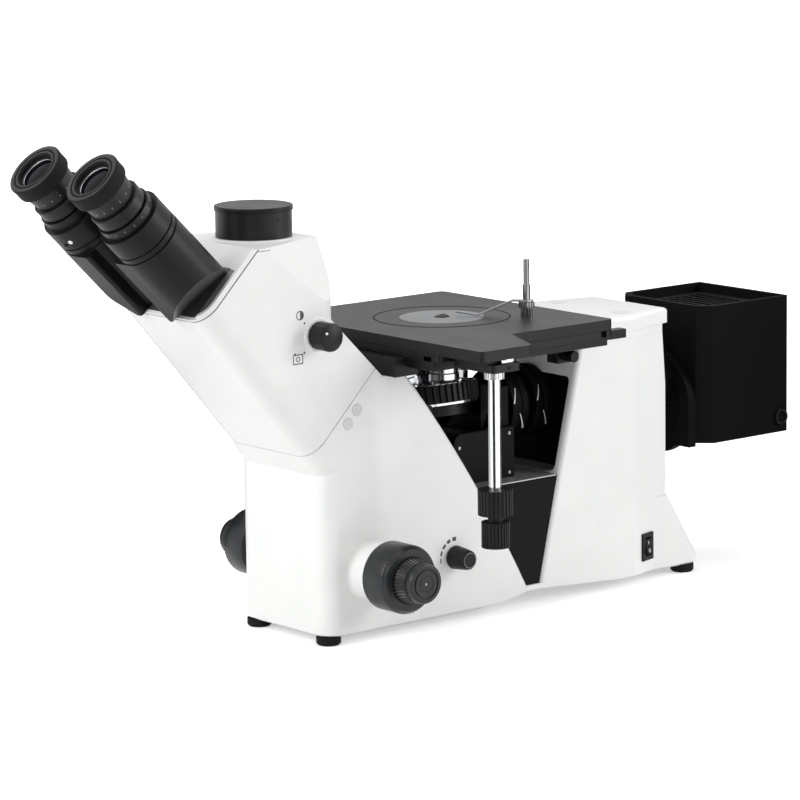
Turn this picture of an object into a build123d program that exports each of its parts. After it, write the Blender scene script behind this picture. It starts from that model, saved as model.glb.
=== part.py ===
from build123d import *
import math
import os

# Inverted reflected-light trinocular microscope, in millimetres.
# X runs across, Y from the operator to the rear, Z up from the bench.
# While it is modelled, the objective's optical axis is X = Y = 0.

# Fits
RUN = 0.05          # radial running clearance of shafts and turned fits
SLIDE_GAP = 0.3     # clearance between pieces that slide or swing past each other
SEAT = 0.05         # radial clearance of pieces that are pressed or glued in

# Stand casting
BODY_HALF = 52.0
BODY_CORNER = 14.0
FRONT_Y = -153.0
BASE_Z = 8.0
FRONT_TOP_Z = 124.0
SHELF_Z = 191.0
SHELF_Y0 = -99.0
SHELF_Y1 = -77.0
V_FLOOR_Z = 17.0
V_FRONT_Y = 37.3
V_REAR_Y = 49.7
V_BULGE = 5.0
ARCH_Z = 13.0
ARCH_Y0 = 10.0
ARCH_Y1 = 130.0
PILLAR_FRONT_TOP_Y = 90.5
PILLAR_REAR_Y = 188.0
PILLAR_REAR_TOP_Y = 184.0
PILLAR_LEAN_Z = 150.0
TAPER_Y = 144.5
TAPER_INSET = 12.0
FLARE_INSET = 7.0
TAPER_HALF = BODY_HALF - TAPER_INSET
FLARE_HALF = BODY_HALF - FLARE_INSET
FLARE_Y = 219.0
FLARE_TOP_Z = 64.0
FLARE_LIP = 5.0
FLARE_ROUND = 6.0
EDGE_ROUND = 4.0
POCKET_ROUND_TOP = 4.0
POCKET_ROUND_LOW = 7.0
WALL = 6.0
DECK_Z = 97.0
POCKET_Y0 = -80.0
PILLAR_POCKET_Y = 92.0
PILLAR_POCKET_Z = 168.0

# Feet and base covers
FOOT_R = 9.0
FOOT_X_FRONT = 40.7
FOOT_Y_FRONT = -143.5
FOOT_X_REAR = 36.0
FOOT_Y_REAR = 209.0
COVER_T = 2.0
COVER_INSET = 4.0

# Pillar cap
CAP_Y0 = 113.0
CAP_SKIRT = 6.0
CAP_T = 11.6
CAP_OVERHANG = 2.5
CAP_ROUND = 3.0

# Grey cover plugs
PLUG_R = 4.3
PLUG_T = 1.6
PLUG_PROUD = 0.4
CAP_PLUG_R = 7.0
CAP_PLUG_X = 36.0
CAP_PLUG_Y = 147.0
SIDE_PLUGS = ((-123.2, 169.7), (-131.5, 160.7))

# Viewing head, built on an axis that leans 45 degrees towards the operator
HEAD_TILT = 45.0
SEAM_Y = -151.5
SEAM_Z = 151.5
HEAD_REAR = 65.0
HEAD_FRONT = -17.7
HEAD_LENGTH = 139.9
NOSE_FRONT = -7.0
HEAD_TOP_Z = 293.5
HEAD_BACK_Y = -137.0
HEAD_CORNER = 16.0
FACET_FRONT = (-200.0, 291.0)
FACET_LOW = (-147.6, 249.0)
FACET_TOP = (29.0, -141.0, 291.5)
SEAM_GAP = 0.7

# Front bezel and tube base
BEZEL_GAP = 0.8
BEZEL_T = 4.0
BEZEL_RIM = 2.6
BEZEL_RECESS = 3.4
BEZEL_GATE_HALF = 43.0
TUBE_BASE_HALF = 40.0
TUBE_BASE_T = 1.3
TUBE_BASE_TOP = 40.0
PIVOT_R = 8.0
PIVOT_T = 29.0
EAR_R = 14.0
EAR_T = 5.5

# Binocular tubes
EYE_X = 33.9
EYE_T = 12.9
HOUSING_R = 24.0
HOUSING_FLAT = 19.0
HOUSING_CORNER = 3.0
HOUSING_L = 64.0
HOUSING_CUT = 3.1
HOUSING_CUT_TILT = 43.8
HOUSING_CUT_TURN = 22.0
RING_R = 23.8
RING_L = 22.7
GROOVES = (0.2, 5.2)
GROOVE_D = 1.0
GROOVE_W = 1.3
NECK_R = 18.0
DIOPTER_R = 20.8
DIOPTER_L = 7.3
EYE_FLANGE_R = 19.3
EYE_FLANGE_L = 9.5
EYE_SLEEVE_R = 15.0
EYE_SLEEVE_L = 22.0
EYE_BARREL_R0 = 16.6
EYE_BARREL_R1 = 18.6
EYE_BARREL_L = 14.5
EYECUP_R = 20.8
EYECUP_L = 10.0
EYECUP_MOUTH_R = 13.6
EYECUP_DEPTH = 4.5
LENS_T = 3.0
LENS_DOME = 1.6

# Photo port
PORT_Y = -172.5
PORT_BOSS_R = 30.0
PORT_BOSS_H = 1.0
PORT_COLLAR_R = 27.3
PORT_BORE_R = 19.0
PORT_COLLAR_H = 18.9
PORT_LID_R = 28.1
PORT_LID_H = 3.5
PORT_PLUG_H = 6.0

# Beam-split knob
SPLIT_Y = -157.5
SPLIT_Z = 227.5
SPLIT_R = 10.2
SPLIT_L = 16.0
SPLIT_BOSS_R = 11.6
SPLIT_BOSS_H = 1.8
SPLIT_SHAFT_R = 4.0
SPLIT_SHAFT_L = 12.0
SPLIT_FACETS = 14
SPLIT_DOME = 2.4

# Focus drive
FOCUS_Y = -111.1
FOCUS_Z = 50.8
COLLAR_R = 25.6
COLLAR_L = 18.0
COARSE_R = 24.7
COARSE_L = 25.0
COARSE_RIBS = 48
FINE_R = 14.1
FINE_L = 16.0
FINE_RIBS = 30
RIB_DEPTH = 0.8
COARSE_SHAFT_R = 8.0
FINE_SHAFT_R = 4.0
LIFT_DOWN = 6.0
LIFT_UP = 5.0
LIFT_PER_TURN = 37.7

# Brightness knob
LIGHT_Y = -33.6
LIGHT_Z = 49.4
LIGHT_R0 = 9.4
LIGHT_R1 = 8.2
LIGHT_L = 17.0
LIGHT_SHAFT_R = 3.0
LIGHT_SHAFT_L = 10.0
LIGHT_ROUND = 2.2

# Rocker switch
SWITCH_Y = 161.5
SWITCH_Z = 28.0
SWITCH_W = 14.6
SWITCH_H = 21.0
SWITCH_FLANGE = 1.6
SWITCH_DEPTH = 12.0
SWITCH_RIM = 2.2
ROCKER_TILT = 9.0
ROCKER_PIN_R = 1.2
ROCKER_T = 5.0
ROCKER_ROOM = 1.4

# Mains inlet
INLET_Z = 82.0
INLET_W = 30.0
INLET_H = 24.0
INLET_FLANGE = 2.2
INLET_DEPTH = 18.0
INLET_RIM = 3.0

# Nosepiece turret, tilted so that the objective in use stands upright
TURRET_TILT = 10.0
OBJECTIVE_CIRCLE = 22.0
OBJECTIVE_COUNT = 5
SHOULDER_Z = 168.0
TURRET_R = 40.0
TURRET_RING_H = 13.0
TURRET_RING_WALL = 5.0
TURRET_RIBS = 48
TURRET_RIB_D = 1.6
TURRET_PLATE_T = 15.0
TURRET_PIN_R = 6.0
THREAD_R = 10.1
THREAD_L = 5.0
OBJ_R = 12.4
OBJ_LENGTHS = (30.0, 27.0, 29.0, 30.0, 24.0)
OBJ_BASE_L = 8.0
OBJ_NOSE_R = 7.4
OBJ_NOSE_L = 7.0

# Nosepiece carriage and its guide
CARRIER_R = 32.0
CARRIER_T = 9.0
LIGHT_PATH_R = 9.0
CARRIAGE_HALF = 20.0
CARRIAGE_Y0 = -71.7
CARRIAGE_Y1 = -60.0
CARRIAGE_Z0 = 108.0
ARM_X0 = -42.0
ARM_X1 = 14.0
ARM_Y1 = -22.0
GUIDE_HALF = 9.0
GUIDE_FLARE = 3.0
GUIDE_Z1 = 158.0
GUIDE_T = 8.0

# Stage
STAGE_Z = 217.6
UPPER_T = 8.0
LOWER_T = 5.1
BASE_T = 6.7
STAGE_X0 = -98.0
STAGE_X1 = 97.0
STAGE_Y0 = -84.0
STAGE_Y1 = 83.0
WING_X = 143.0
WING_Y = -37.0
WING_RUN = 21.0
STAGE_ROUND = 4.0
LOWER_INSET = 0.0
BASE_X = 90.0
BASE_PAD_X = 62.0
BASE_PAD_Y0 = -96.0
BASE_PAD_Y1 = -76.0
BASE_Y1 = 111.0
OPEN_X = 54.0
BASE_OPEN_Y0 = -74.0
BASE_OPEN_Y1 = 40.0
LOWER_OPEN_Y0 = -70.0
LOWER_OPEN_Y1 = 52.0
RAIL_X = 84.0
RAIL_W = 8.0
RAIL_H = 3.2
RAIL_DROP = 3.4
RAIL_Y0 = -76.0
RAIL_Y1 = 103.7
NOTCH_Y = 73.3
NOTCH_W = 5.5
NOTCH_D = 4.0
STAGE_TRAVEL = 15.0
INSERT_R = 50.9
INSERT_LEDGE_R = 44.0
INSERT_T = 5.0
DISC_R = 31.4
DISC_LEDGE_R = 27.0
DISC_T = 2.4
DISC_HOLE_R = 5.7
DISC_DROP_R = 2.2
DISC_DROP_L = 12.0
DISC_DROP_TURN = 137.0

# Stage controls
ROD_X = 125.0
ROD_Y = -57.0
BRACKET_Y0 = -72.0
BRACKET_Y1 = -45.0
BRACKET_X0 = 99.0
BRACKET_X1 = 141.0
BRACKET_T = 5.8
TONGUE_X0 = 80.0
TONGUE_X1 = 135.0
TONGUE_T = 3.3
STOP_RING_R = 7.1
STOP_RING_H = 6.4
ROD_R = 4.5
ROD_CORE_R = 2.5
ROD_L = 86.3
Y_KNOB_R = 12.6
Y_KNOB_L = 18.5
X_KNOB_R = 10.2
X_KNOB_L = 18.5
KNOB_NECK = 5.0
CONTROL_RIBS = 26
PINION_R = 5.0

# Specimen clip
CLIP_X = 45.0
CLIP_Y = 44.0
CLIP_FOOT_R = 4.5
CLIP_FOOT_H = 7.0
CLIP_POST_R = 2.8
CLIP_POST_H = 24.0
CLIP_TIP_R = 2.2
CLIP_TIP_H = 43.0
CLIP_COLLAR_R = 6.0
CLIP_COLLAR_H = 4.0
CLIP_ARM_W = 6.0
CLIP_ARM_T = 1.2
CLIP_TIP_X = 5.0
CLIP_TIP_Y = 9.5
CLIP_POINT = 1.6
CLIP_DROP = 0.5
CLIP_TIP_RISE = 2.0
CLIP_LIFT = 12.0

# Stage clamp screw
CLAMP_X = 58.0
CLAMP_Y = 69.0
CLAMP_Z = 187.8
CLAMP_R = 4.2
CLAMP_L = 12.0
CLAMP_RIBS = 14
CLAMP_SHANK_R = 2.5
CLAMP_SHANK_L = 12.0
CLAMP_LUG_W = 12.0

# Illuminator
LIGHT_AXIS_Z = 146.0
BLOCK_HALF = 34.0
BLOCK_Y0 = -18.0
BLOCK_Y1 = 40.0
BLOCK_TOP_Z = 127.0
BLOCK_PLATE_Z = 135.0
BLOCK_PLATE_T = 6.0
BLOCK_PLATE_ROUND = 7.0
BLOCK_ROUND = 3.0
POST_X0 = 8.0
POST_X1 = 26.0
POST_Y0 = 30.0
POST_TOP_Z = 164.0
TUBE_Y0 = 41.5
TUBE_R = 20.0
TUBE_BORE_R = 15.0
DIA_R = 27.0
DIA_L = 15.0
APERTURE_Y = 46.0
FIELD_Y = 69.0
PANEL_T = 2.0

# Lamp house
LAMP_HALF = 49.9
LAMP_Y0 = 220.0
LAMP_Y1 = 310.0
LAMP_Z0 = 99.2
LAMP_Z1 = 206.1
LAMP_WALL = 4.0
LAMP_ROUND = 2.5
LAMP_CHAMFER = 10.0
LAMP_AXIS_Z = 146.0
MOUNT_HALF = 40.0
MOUNT_T = 7.0
MOUNT_ARCH_Z = 128.0
MOUNT_LOW_Z = 96.6
MOUNT_RECESS_R = 30.0
MOUNT_TUBE_R = 21.5
MOUNT_SPIGOT_R = 20.0
MOUNT_SPIGOT_L = 12.0
GRILLE_RECESS = 7.0
GRILLE_T = 3.0
GRILLE_RIM = 8.0
SLAT_COUNT = 9
SLAT_W = 3.6
SOCKET_R = 12.0
SOCKET_H = 36.0
BULB_R = 6.5
BULB_H = 22.0
COLLECTOR_R = 17.0
COLLECTOR_T = 8.0
LAMP_SCREW_R = 6.0
LAMP_SCREW_Y = 301.0
LAMP_SCREW_Z = 111.5
LAMP_SCREW_T = 2.5

LOW = (Align.CENTER, Align.CENTER, Align.MIN)
ACROSS = (1, 0, 0)
BACK = (0, 1, 0)
UP = (0, 0, 1)


def cyl(origin, direction, radius, length):
    """Round bar from an origin along a direction."""
    return Plane(origin=origin, z_dir=direction) * Cylinder(radius, length, align=LOW)


def tube(origin, direction, outer, inner, length):
    """Round tube from an origin along a direction."""
    return cyl(origin, direction, outer, length) - cyl(origin, direction, inner, length)


def block(x0, x1, y0, y1, z0, z1):
    """Box between two corners."""
    return Pos((x0 + x1) / 2, (y0 + y1) / 2, (z0 + z1) / 2) * Box(x1 - x0, y1 - y0, z1 - z0)


def side_prism(points, half):
    """Outline in Y and Z, drawn out across X to both sides of the middle."""
    face = make_face(Plane.YZ * Polyline(*points, close=True))
    return extrude(face, half, both=True)


def plan_prism(points, z0, z1):
    """Outline in X and Y, drawn up from z0 to z1."""
    face = make_face(Plane.XY.offset(z0) * Polyline(*points, close=True))
    return extrude(face, z1 - z0)


def ribbed(plane, radius, depth, count, length):
    """Round knob body with straight ribs, drawn along the plane's normal."""
    points = []
    for rib in range(count):
        for share, r in ((0.0, radius), (0.45, radius), (0.6, radius - depth), (0.85, radius - depth)):
            angle = 2 * math.pi * (rib + share) / count
            points.append((r * math.cos(angle), r * math.sin(angle)))
    return plane * extrude(make_face(Polyline(*points, close=True)), length)


def turned(plane, points):
    """Turned piece: radius and height pairs spun about the plane's normal."""
    outline = make_face(Plane.XZ * Polyline(*points, close=True))
    return plane * revolve(outline, Axis.Z)


def domed_disc(radius, edge, dome):
    """Lens: a flat disc of an edge thickness under a spherical dome."""
    sphere = (radius**2 + dome**2) / (2 * dome)
    return Cylinder(radius, edge + dome, align=LOW) & Pos(0, 0, edge + dome - sphere) * Sphere(sphere)


def at_sides(solid):
    """The piece and its mirror image across the middle."""
    return solid, mirror(solid, Plane.YZ)


def edges_at(solid, test):
    """Edges of a solid whose middle point passes a test."""
    return [edge for edge in solid.edges() if test(edge.position_at(0.5))]


TILT = math.radians(HEAD_TILT)
HEAD = Plane(origin=(0, SEAM_Y, SEAM_Z), x_dir=ACROSS, z_dir=(0, -math.sin(TILT), math.cos(TILT)))
SLOPE = HEAD.z_dir
BEZEL_S = HEAD_LENGTH + BEZEL_GAP
TUBE_BASE_S = BEZEL_S + BEZEL_T - BEZEL_RECESS
HOUSING_S = TUBE_BASE_S + TUBE_BASE_T + SLIDE_GAP


def on_head(x, t, s):
    """Point in the head's own frame: across, up the slope, out along the tubes."""
    return HEAD.from_local_coords(Vector(x, t, s))


def head_yz(t, s):
    """Y and Z of a point of the head's middle plane."""
    point = on_head(0, t, s)
    return (point.Y, point.Z)


SEAM_FRONT = head_yz(HEAD_FRONT, 0)
SEAM_REAR = head_yz(HEAD_REAR, 0)


def tower_bow():
    """Middle point of the tower's bowed rear edge, in Y and Z."""
    rise = SHELF_Z - V_FLOOR_Z
    run = V_FRONT_Y - SHELF_Y1
    bulge = V_BULGE / math.hypot(run, rise)
    return ((SHELF_Y1 + V_FRONT_Y) / 2 + bulge * rise, (SHELF_Z + V_FLOOR_Z) / 2 + bulge * run)


def tower_outline():
    """Front tower: upright front, seam under the head, and a bowed rear edge."""
    bow = tower_bow()
    with BuildSketch(Plane.YZ) as sketch:
        with BuildLine():
            Polyline(
                (V_FRONT_Y, V_FLOOR_Z),
                (V_FRONT_Y, ARCH_Z),
                (ARCH_Y0, BASE_Z),
                (FRONT_Y, BASE_Z),
                (FRONT_Y, FRONT_TOP_Z),
                SEAM_FRONT,
                SEAM_REAR,
                (SHELF_Y0, SHELF_Z),
                (SHELF_Y1, SHELF_Z),
            )
            ThreePointArc((SHELF_Y1, SHELF_Z), bow, (V_FRONT_Y, V_FLOOR_Z))
        make_face()
    return sketch.sketch


def tower_solid():
    """Front tower with its rounded front corners."""
    solid = extrude(tower_outline(), BODY_HALF, both=True)
    corners = edges_at(solid, lambda p: abs(p.X) > BODY_HALF - 1 and p.Y < FRONT_Y + 1)
    solid = fillet(corners, BODY_CORNER)
    bow = tower_bow()
    sides = edges_at(solid, lambda p: abs(p.X) > BODY_HALF - 1)
    rear = [e for e in sides if math.hypot(e.position_at(0.5).Y - bow[0], e.position_at(0.5).Z - bow[1]) < 1]
    return fillet(rear, EDGE_ROUND)


def pillar_solid():
    """Rear pillar that narrows towards the lamp, with a flared foot behind."""
    upright = side_prism(
        (
            (V_REAR_Y, V_FLOOR_Z),
            (PILLAR_FRONT_TOP_Y, SHELF_Z),
            (PILLAR_REAR_TOP_Y, SHELF_Z),
            (PILLAR_REAR_Y, PILLAR_LEAN_Z),
            (PILLAR_REAR_Y, BASE_Z),
            (ARCH_Y1, BASE_Z),
            (V_REAR_Y, ARCH_Z),
        ),
        BODY_HALF,
    )
    far = 2 * BODY_HALF
    wedge = plan_prism(
        ((BODY_HALF, TAPER_Y), (TAPER_HALF, PILLAR_REAR_Y), (far, PILLAR_REAR_Y), (far, TAPER_Y)),
        0,
        2 * SHELF_Z,
    )
    middle = (V_FLOOR_Z + SHELF_Z) / 2
    sides = edges_at(upright, lambda p: abs(p.X) > BODY_HALF - 1 and p.Y < TAPER_Y)
    upright = fillet([e for e in sides if abs(e.position_at(0.5).Z - middle) < 1], EDGE_ROUND)
    for side in at_sides(wedge):
        upright -= side
    flare = side_prism(
        (
            (TAPER_Y, BASE_Z),
            (FLARE_Y, BASE_Z),
            (FLARE_Y, BASE_Z + FLARE_LIP),
            (PILLAR_REAR_Y, FLARE_TOP_Z),
            (TAPER_Y, FLARE_TOP_Z),
        ),
        FLARE_HALF,
    )
    back = edges_at(flare, lambda p: abs(p.X) > FLARE_HALF - 1 and p.Y > PILLAR_REAR_Y)
    flare = fillet([e for e in back if e.position_at(0.5).Z > BASE_Z + 1], FLARE_ROUND)
    return upright + flare


def taper_plane(y, z):
    """Frame on the pillar's narrowing side: across along it, up, and outwards."""
    run = Vector(TAPER_HALF - BODY_HALF, PILLAR_REAR_Y - TAPER_Y, 0).normalized()
    x = BODY_HALF + (TAPER_HALF - BODY_HALF) * (y - TAPER_Y) / (PILLAR_REAR_Y - TAPER_Y)
    return Plane(origin=(x, y, z), x_dir=run, z_dir=(run.Y, -run.X, 0))


def pocket(grow, y0, y1):
    """Rounded pocket in the pillar's front, grown by a clearance."""
    half = BODY_HALF - WALL + grow
    room = block(-half, half, y0, y1, DECK_Z, PILLAR_POCKET_Z + grow)
    middle = (y0 + y1) / 2
    along = edges_at(room, lambda p: abs(p.Y - middle) < 0.1)
    room = fillet([e for e in along if e.position_at(0.5).Z > DECK_Z + 1], POCKET_ROUND_TOP)
    along = edges_at(room, lambda p: abs(p.Y - middle) < 0.1 and p.Z < DECK_Z + 1)
    return fillet(along, POCKET_ROUND_LOW)


def stand_casting():
    """Tower, floor and pillar in one casting, with its pockets and bores."""
    floor = block(-BODY_HALF, BODY_HALF, V_FRONT_Y - WALL, V_REAR_Y + WALL, ARCH_Z, V_FLOOR_Z)
    solid = tower_solid() + pillar_solid() + floor
    inner = BODY_HALF - WALL
    solid -= block(-inner, inner, POCKET_Y0, V_REAR_Y + WALL, DECK_Z, 2 * SHELF_Z)
    solid -= pocket(0, V_REAR_Y, PILLAR_POCKET_Y)
    solid -= cyl((-BODY_HALF, FOCUS_Y, FOCUS_Z), ACROSS, COARSE_SHAFT_R + RUN, 2 * BODY_HALF)
    shaft_x = BODY_HALF - LIGHT_SHAFT_L - 1
    solid -= cyl((shaft_x, LIGHT_Y, LIGHT_Z), ACROSS, LIGHT_SHAFT_R + RUN, 2 * LIGHT_SHAFT_L)
    solid -= cyl((0, PILLAR_POCKET_Y, LIGHT_AXIS_Z), BACK, TUBE_R + SEAT, PILLAR_REAR_Y)
    solid -= cyl((0, PILLAR_REAR_Y - MOUNT_SPIGOT_L, LAMP_AXIS_Z), BACK, MOUNT_SPIGOT_R + SEAT, PILLAR_REAR_Y)
    solid -= taper_plane(SWITCH_Y, SWITCH_Z) * extrude(
        Rectangle(SWITCH_W - 2 * SWITCH_RIM + 2 * SEAT, SWITCH_H - 2 * SWITCH_RIM + 2 * SEAT),
        SWITCH_DEPTH + 1,
        both=True,
    )
    inlet = Plane(origin=(0, PILLAR_REAR_Y, INLET_Z), x_dir=ACROSS, z_dir=BACK)
    solid -= inlet * extrude(
        Rectangle(INLET_W - 2 * INLET_RIM + 2 * SEAT, INLET_H - 2 * INLET_RIM + 2 * SEAT),
        INLET_DEPTH + 1,
        both=True,
    )
    for y, z in SIDE_PLUGS:
        for x in (BODY_HALF - PLUG_T + PLUG_PROUD, -BODY_HALF - PLUG_PROUD):
            solid -= cyl((x, y, z), ACROSS, PLUG_R + SEAT, PLUG_T)
    return solid


def lower_housing():
    """Black box that fills the gap between tower and pillar up to the deck."""
    body = side_prism(
        ((SHELF_Y1, V_FLOOR_Z), (PILLAR_POCKET_Y, V_FLOOR_Z), (PILLAR_POCKET_Y, DECK_Z), (SHELF_Y1, DECK_Z)),
        BODY_HALF - PANEL_T,
    )
    body -= extrude(tower_outline(), 2 * BODY_HALF, both=True)
    pillar = side_prism(
        (
            (V_REAR_Y, V_FLOOR_Z),
            (PILLAR_FRONT_TOP_Y, SHELF_Z),
            (2 * PILLAR_REAR_Y, SHELF_Z),
            (2 * PILLAR_REAR_Y, V_FLOOR_Z),
        ),
        2 * BODY_HALF,
    )
    return body - pillar


def foot_places():
    """Plan places of the four feet."""
    for x, y in ((FOOT_X_FRONT, FOOT_Y_FRONT), (FOOT_X_REAR, FOOT_Y_REAR)):
        for side in (-1, 1):
            yield (side * x, y)


def feet():
    """Four rubber feet, a little narrower at the bench."""
    height = BASE_Z - COVER_T
    profile = ((0, 0), (FOOT_R - 1.5, 0), (FOOT_R, 1.5), (FOOT_R, height), (0, height))
    return [turned(Plane(origin=(x, y, 0)), profile) for x, y in foot_places()]


def base_covers():
    """Sheet covers under the tower and under the pillar."""
    low = BASE_Z - COVER_T
    inset = BODY_HALF - COVER_INSET
    front = block(-inset, inset, FRONT_Y + COVER_INSET, ARCH_Y0 - COVER_INSET, low, BASE_Z)
    corners = edges_at(front, lambda p: abs(p.X) > inset - 1 and abs(p.Z - BASE_Z + COVER_T / 2) < 0.1)
    front = fillet(corners, BODY_CORNER)
    narrow = FLARE_HALF - COVER_INSET
    rear = block(-narrow, narrow, ARCH_Y1 + COVER_INSET, FLARE_Y - COVER_INSET, low, BASE_Z)
    return [front, rear]


def pillar_cap():
    """Top cover of the pillar: skirt flush with the casting, plate overhanging behind."""
    slope = (BODY_HALF - TAPER_HALF) / (PILLAR_REAR_Y - TAPER_Y)

    def plan(grow, rear):
        half = BODY_HALF + grow
        corner = TAPER_Y
        end = half - slope * (rear - corner)
        return ((-half, CAP_Y0), (half, CAP_Y0), (half, corner), (end, rear), (-end, rear), (-half, corner))

    skirt = plan_prism(plan(0, PILLAR_REAR_TOP_Y), SHELF_Z, SHELF_Z + CAP_SKIRT)
    top = SHELF_Z + CAP_SKIRT + CAP_T
    plate = plan_prism(plan(CAP_OVERHANG / 2, PILLAR_REAR_TOP_Y + 2 * CAP_OVERHANG), SHELF_Z + CAP_SKIRT, top)
    plate = fillet(edges_at(plate, lambda p: abs(p.Z - top) < 0.1 and p.Y > CAP_Y0 + 1), CAP_ROUND)
    solid = skirt + plate
    for x in (-CAP_PLUG_X, CAP_PLUG_X):
        solid -= cyl((x, CAP_PLUG_Y, top - PLUG_T + PLUG_PROUD), UP, CAP_PLUG_R + SEAT, PLUG_T)
    return solid


def cover_plugs():
    """Grey plugs over the head screws on both sides and over the cap screws."""
    plugs = []
    for y, z in SIDE_PLUGS:
        for x in (BODY_HALF - PLUG_T + PLUG_PROUD, -BODY_HALF - PLUG_PROUD):
            plugs.append(cyl((x, y, z), ACROSS, PLUG_R, PLUG_T))
    low = SHELF_Z + CAP_SKIRT + CAP_T - PLUG_T + PLUG_PROUD
    for x in (-CAP_PLUG_X, CAP_PLUG_X):
        plugs.append(cyl((x, CAP_PLUG_Y, low), UP, CAP_PLUG_R, PLUG_T))
    return plugs


def head_outline():
    """Side view of the head, from the seam to the face that carries the bezel."""
    rear_y = SEAM_REAR[0]
    rear_z = SEAM_REAR[1]
    top_t = HEAD_TOP_Z * math.sqrt(2) - (HEAD_LENGTH + (SEAM_Z - SEAM_Y) / math.sqrt(2))
    return (
        SEAM_FRONT,
        SEAM_REAR,
        (HEAD_BACK_Y, rear_z + rear_y - HEAD_BACK_Y),
        (HEAD_BACK_Y, HEAD_TOP_Z),
        head_yz(top_t, HEAD_LENGTH),
        head_yz(NOSE_FRONT, HEAD_LENGTH),
    )


def head_housing():
    """Viewing head with rounded underside, facetted rear shoulders and the port boss."""
    solid = side_prism(head_outline(), BODY_HALF)
    middle = (head_yz(NOSE_FRONT, HEAD_LENGTH)[1] + SEAM_FRONT[1]) / 2
    under = edges_at(solid, lambda p: abs(p.X) > BODY_HALF - 1 and abs(p.Z - middle) < 1)
    back = edges_at(solid, lambda p: abs(p.X) > BODY_HALF - 1 and abs(p.Y - HEAD_BACK_Y) < 0.1)
    solid = fillet(under + back, HEAD_CORNER)
    a = Vector(BODY_HALF, *FACET_FRONT)
    b = Vector(*FACET_TOP)
    c = Vector(BODY_HALF, *FACET_LOW)
    outward = (c - a).cross(b - a)
    if outward.X < 0:
        outward = outward * -1
    facet = Plane(origin=a, z_dir=outward) * Box(4 * BODY_HALF, 4 * BODY_HALF, BODY_HALF, align=LOW)
    for side in at_sides(facet):
        solid -= side
    length = HEAD_REAR - HEAD_FRONT
    seat = Pos(0, (HEAD_REAR + HEAD_FRONT) / 2) * Rectangle(2 * (BODY_HALF - SEAM_GAP), length - 2 * SEAM_GAP)
    seat = fillet(seat.vertices().group_by(Axis.Y)[0], HEAD_CORNER)
    slit = Box(4 * BODY_HALF, 4 * BODY_HALF, SEAM_GAP, align=LOW) - extrude(seat, SEAM_GAP)
    solid -= HEAD * slit
    solid += cyl((0, PORT_Y, HEAD_TOP_Z), UP, PORT_BOSS_R, PORT_BOSS_H)
    solid -= cyl((0, PORT_Y, HEAD_TOP_Z - PORT_PLUG_H), UP, PORT_BORE_R, 4 * PORT_PLUG_H)
    solid += cyl((BODY_HALF, SPLIT_Y, SPLIT_Z), ACROSS, SPLIT_BOSS_R, SPLIT_BOSS_H)
    shaft_x = BODY_HALF - SPLIT_SHAFT_L - 1
    return solid - cyl((shaft_x, SPLIT_Y, SPLIT_Z), ACROSS, SPLIT_SHAFT_R + RUN, 2 * SPLIT_SHAFT_L)


def bezel_face(inset):
    """Outline of the head's front end, drawn in by an inset and run out past the head's top."""
    half = BODY_HALF - inset
    low = NOSE_FRONT + inset
    high = (HEAD_TOP_Z - SEAM_Z) * math.sqrt(2) - HEAD_LENGTH + 4 * BEZEL_RIM
    face = Pos(0, (low + high) / 2) * Rectangle(2 * half, high - low)
    return fillet(face.vertices().group_by(Axis.Y)[0], HEAD_CORNER - inset)


def front_bezel():
    """White bezel on the head's front end: a rim round a dished floor, lower where the tubes swing."""
    plate = extrude(bezel_face(0), BEZEL_T)
    plate -= Pos(0, 0, BEZEL_T - BEZEL_RECESS) * extrude(bezel_face(BEZEL_RIM), BEZEL_T)
    spacer = Pos(0, 0, -BEZEL_GAP) * extrude(bezel_face(2 * BEZEL_RIM), BEZEL_GAP)
    solid = HEAD.offset(BEZEL_S) * (plate + spacer)
    above = block(-2 * BODY_HALF, 2 * BODY_HALF, 4 * FRONT_Y, 0, HEAD_TOP_Z, 2 * HEAD_TOP_Z)
    gate = Pos(0, NOSE_FRONT, 0) * Box(2 * BEZEL_GATE_HALF, 4 * BEZEL_RIM, BEZEL_T, align=LOW)
    return solid - above - HEAD.offset(HOUSING_S - SLIDE_GAP) * gate


def tube_base():
    """Black plate that carries the binocular tubes on its pivot pin."""
    wide = 4 * BODY_HALF
    low = NOSE_FRONT + BEZEL_RIM + SLIDE_GAP
    face = bezel_face(BEZEL_RIM + SLIDE_GAP) & Pos(0, TUBE_BASE_TOP - wide / 2) * Rectangle(wide, wide)
    face = face & Pos(0, low) * Rectangle(2 * TUBE_BASE_HALF, wide)
    plate = HEAD.offset(TUBE_BASE_S) * extrude(face, TUBE_BASE_T)
    pin_l = TUBE_BASE_T + 2 * EAR_T + 4 * SLIDE_GAP
    return plate + cyl(on_head(0, PIVOT_T, TUBE_BASE_S), SLOPE, PIVOT_R, pin_l)


def eye_plane(side, s):
    """Frame on one eyepiece axis, s out from the seam."""
    return Plane(origin=on_head(side * EYE_X, EYE_T, s), x_dir=ACROSS, z_dir=SLOPE)


RING_S = HOUSING_S + HOUSING_L
NECK_S = RING_S + RING_L
FLANGE_S = NECK_S + DIOPTER_L + 2 * SLIDE_GAP
EYE_END_S = FLANGE_S + EYE_FLANGE_L + EYE_BARREL_L + EYECUP_L


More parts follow.
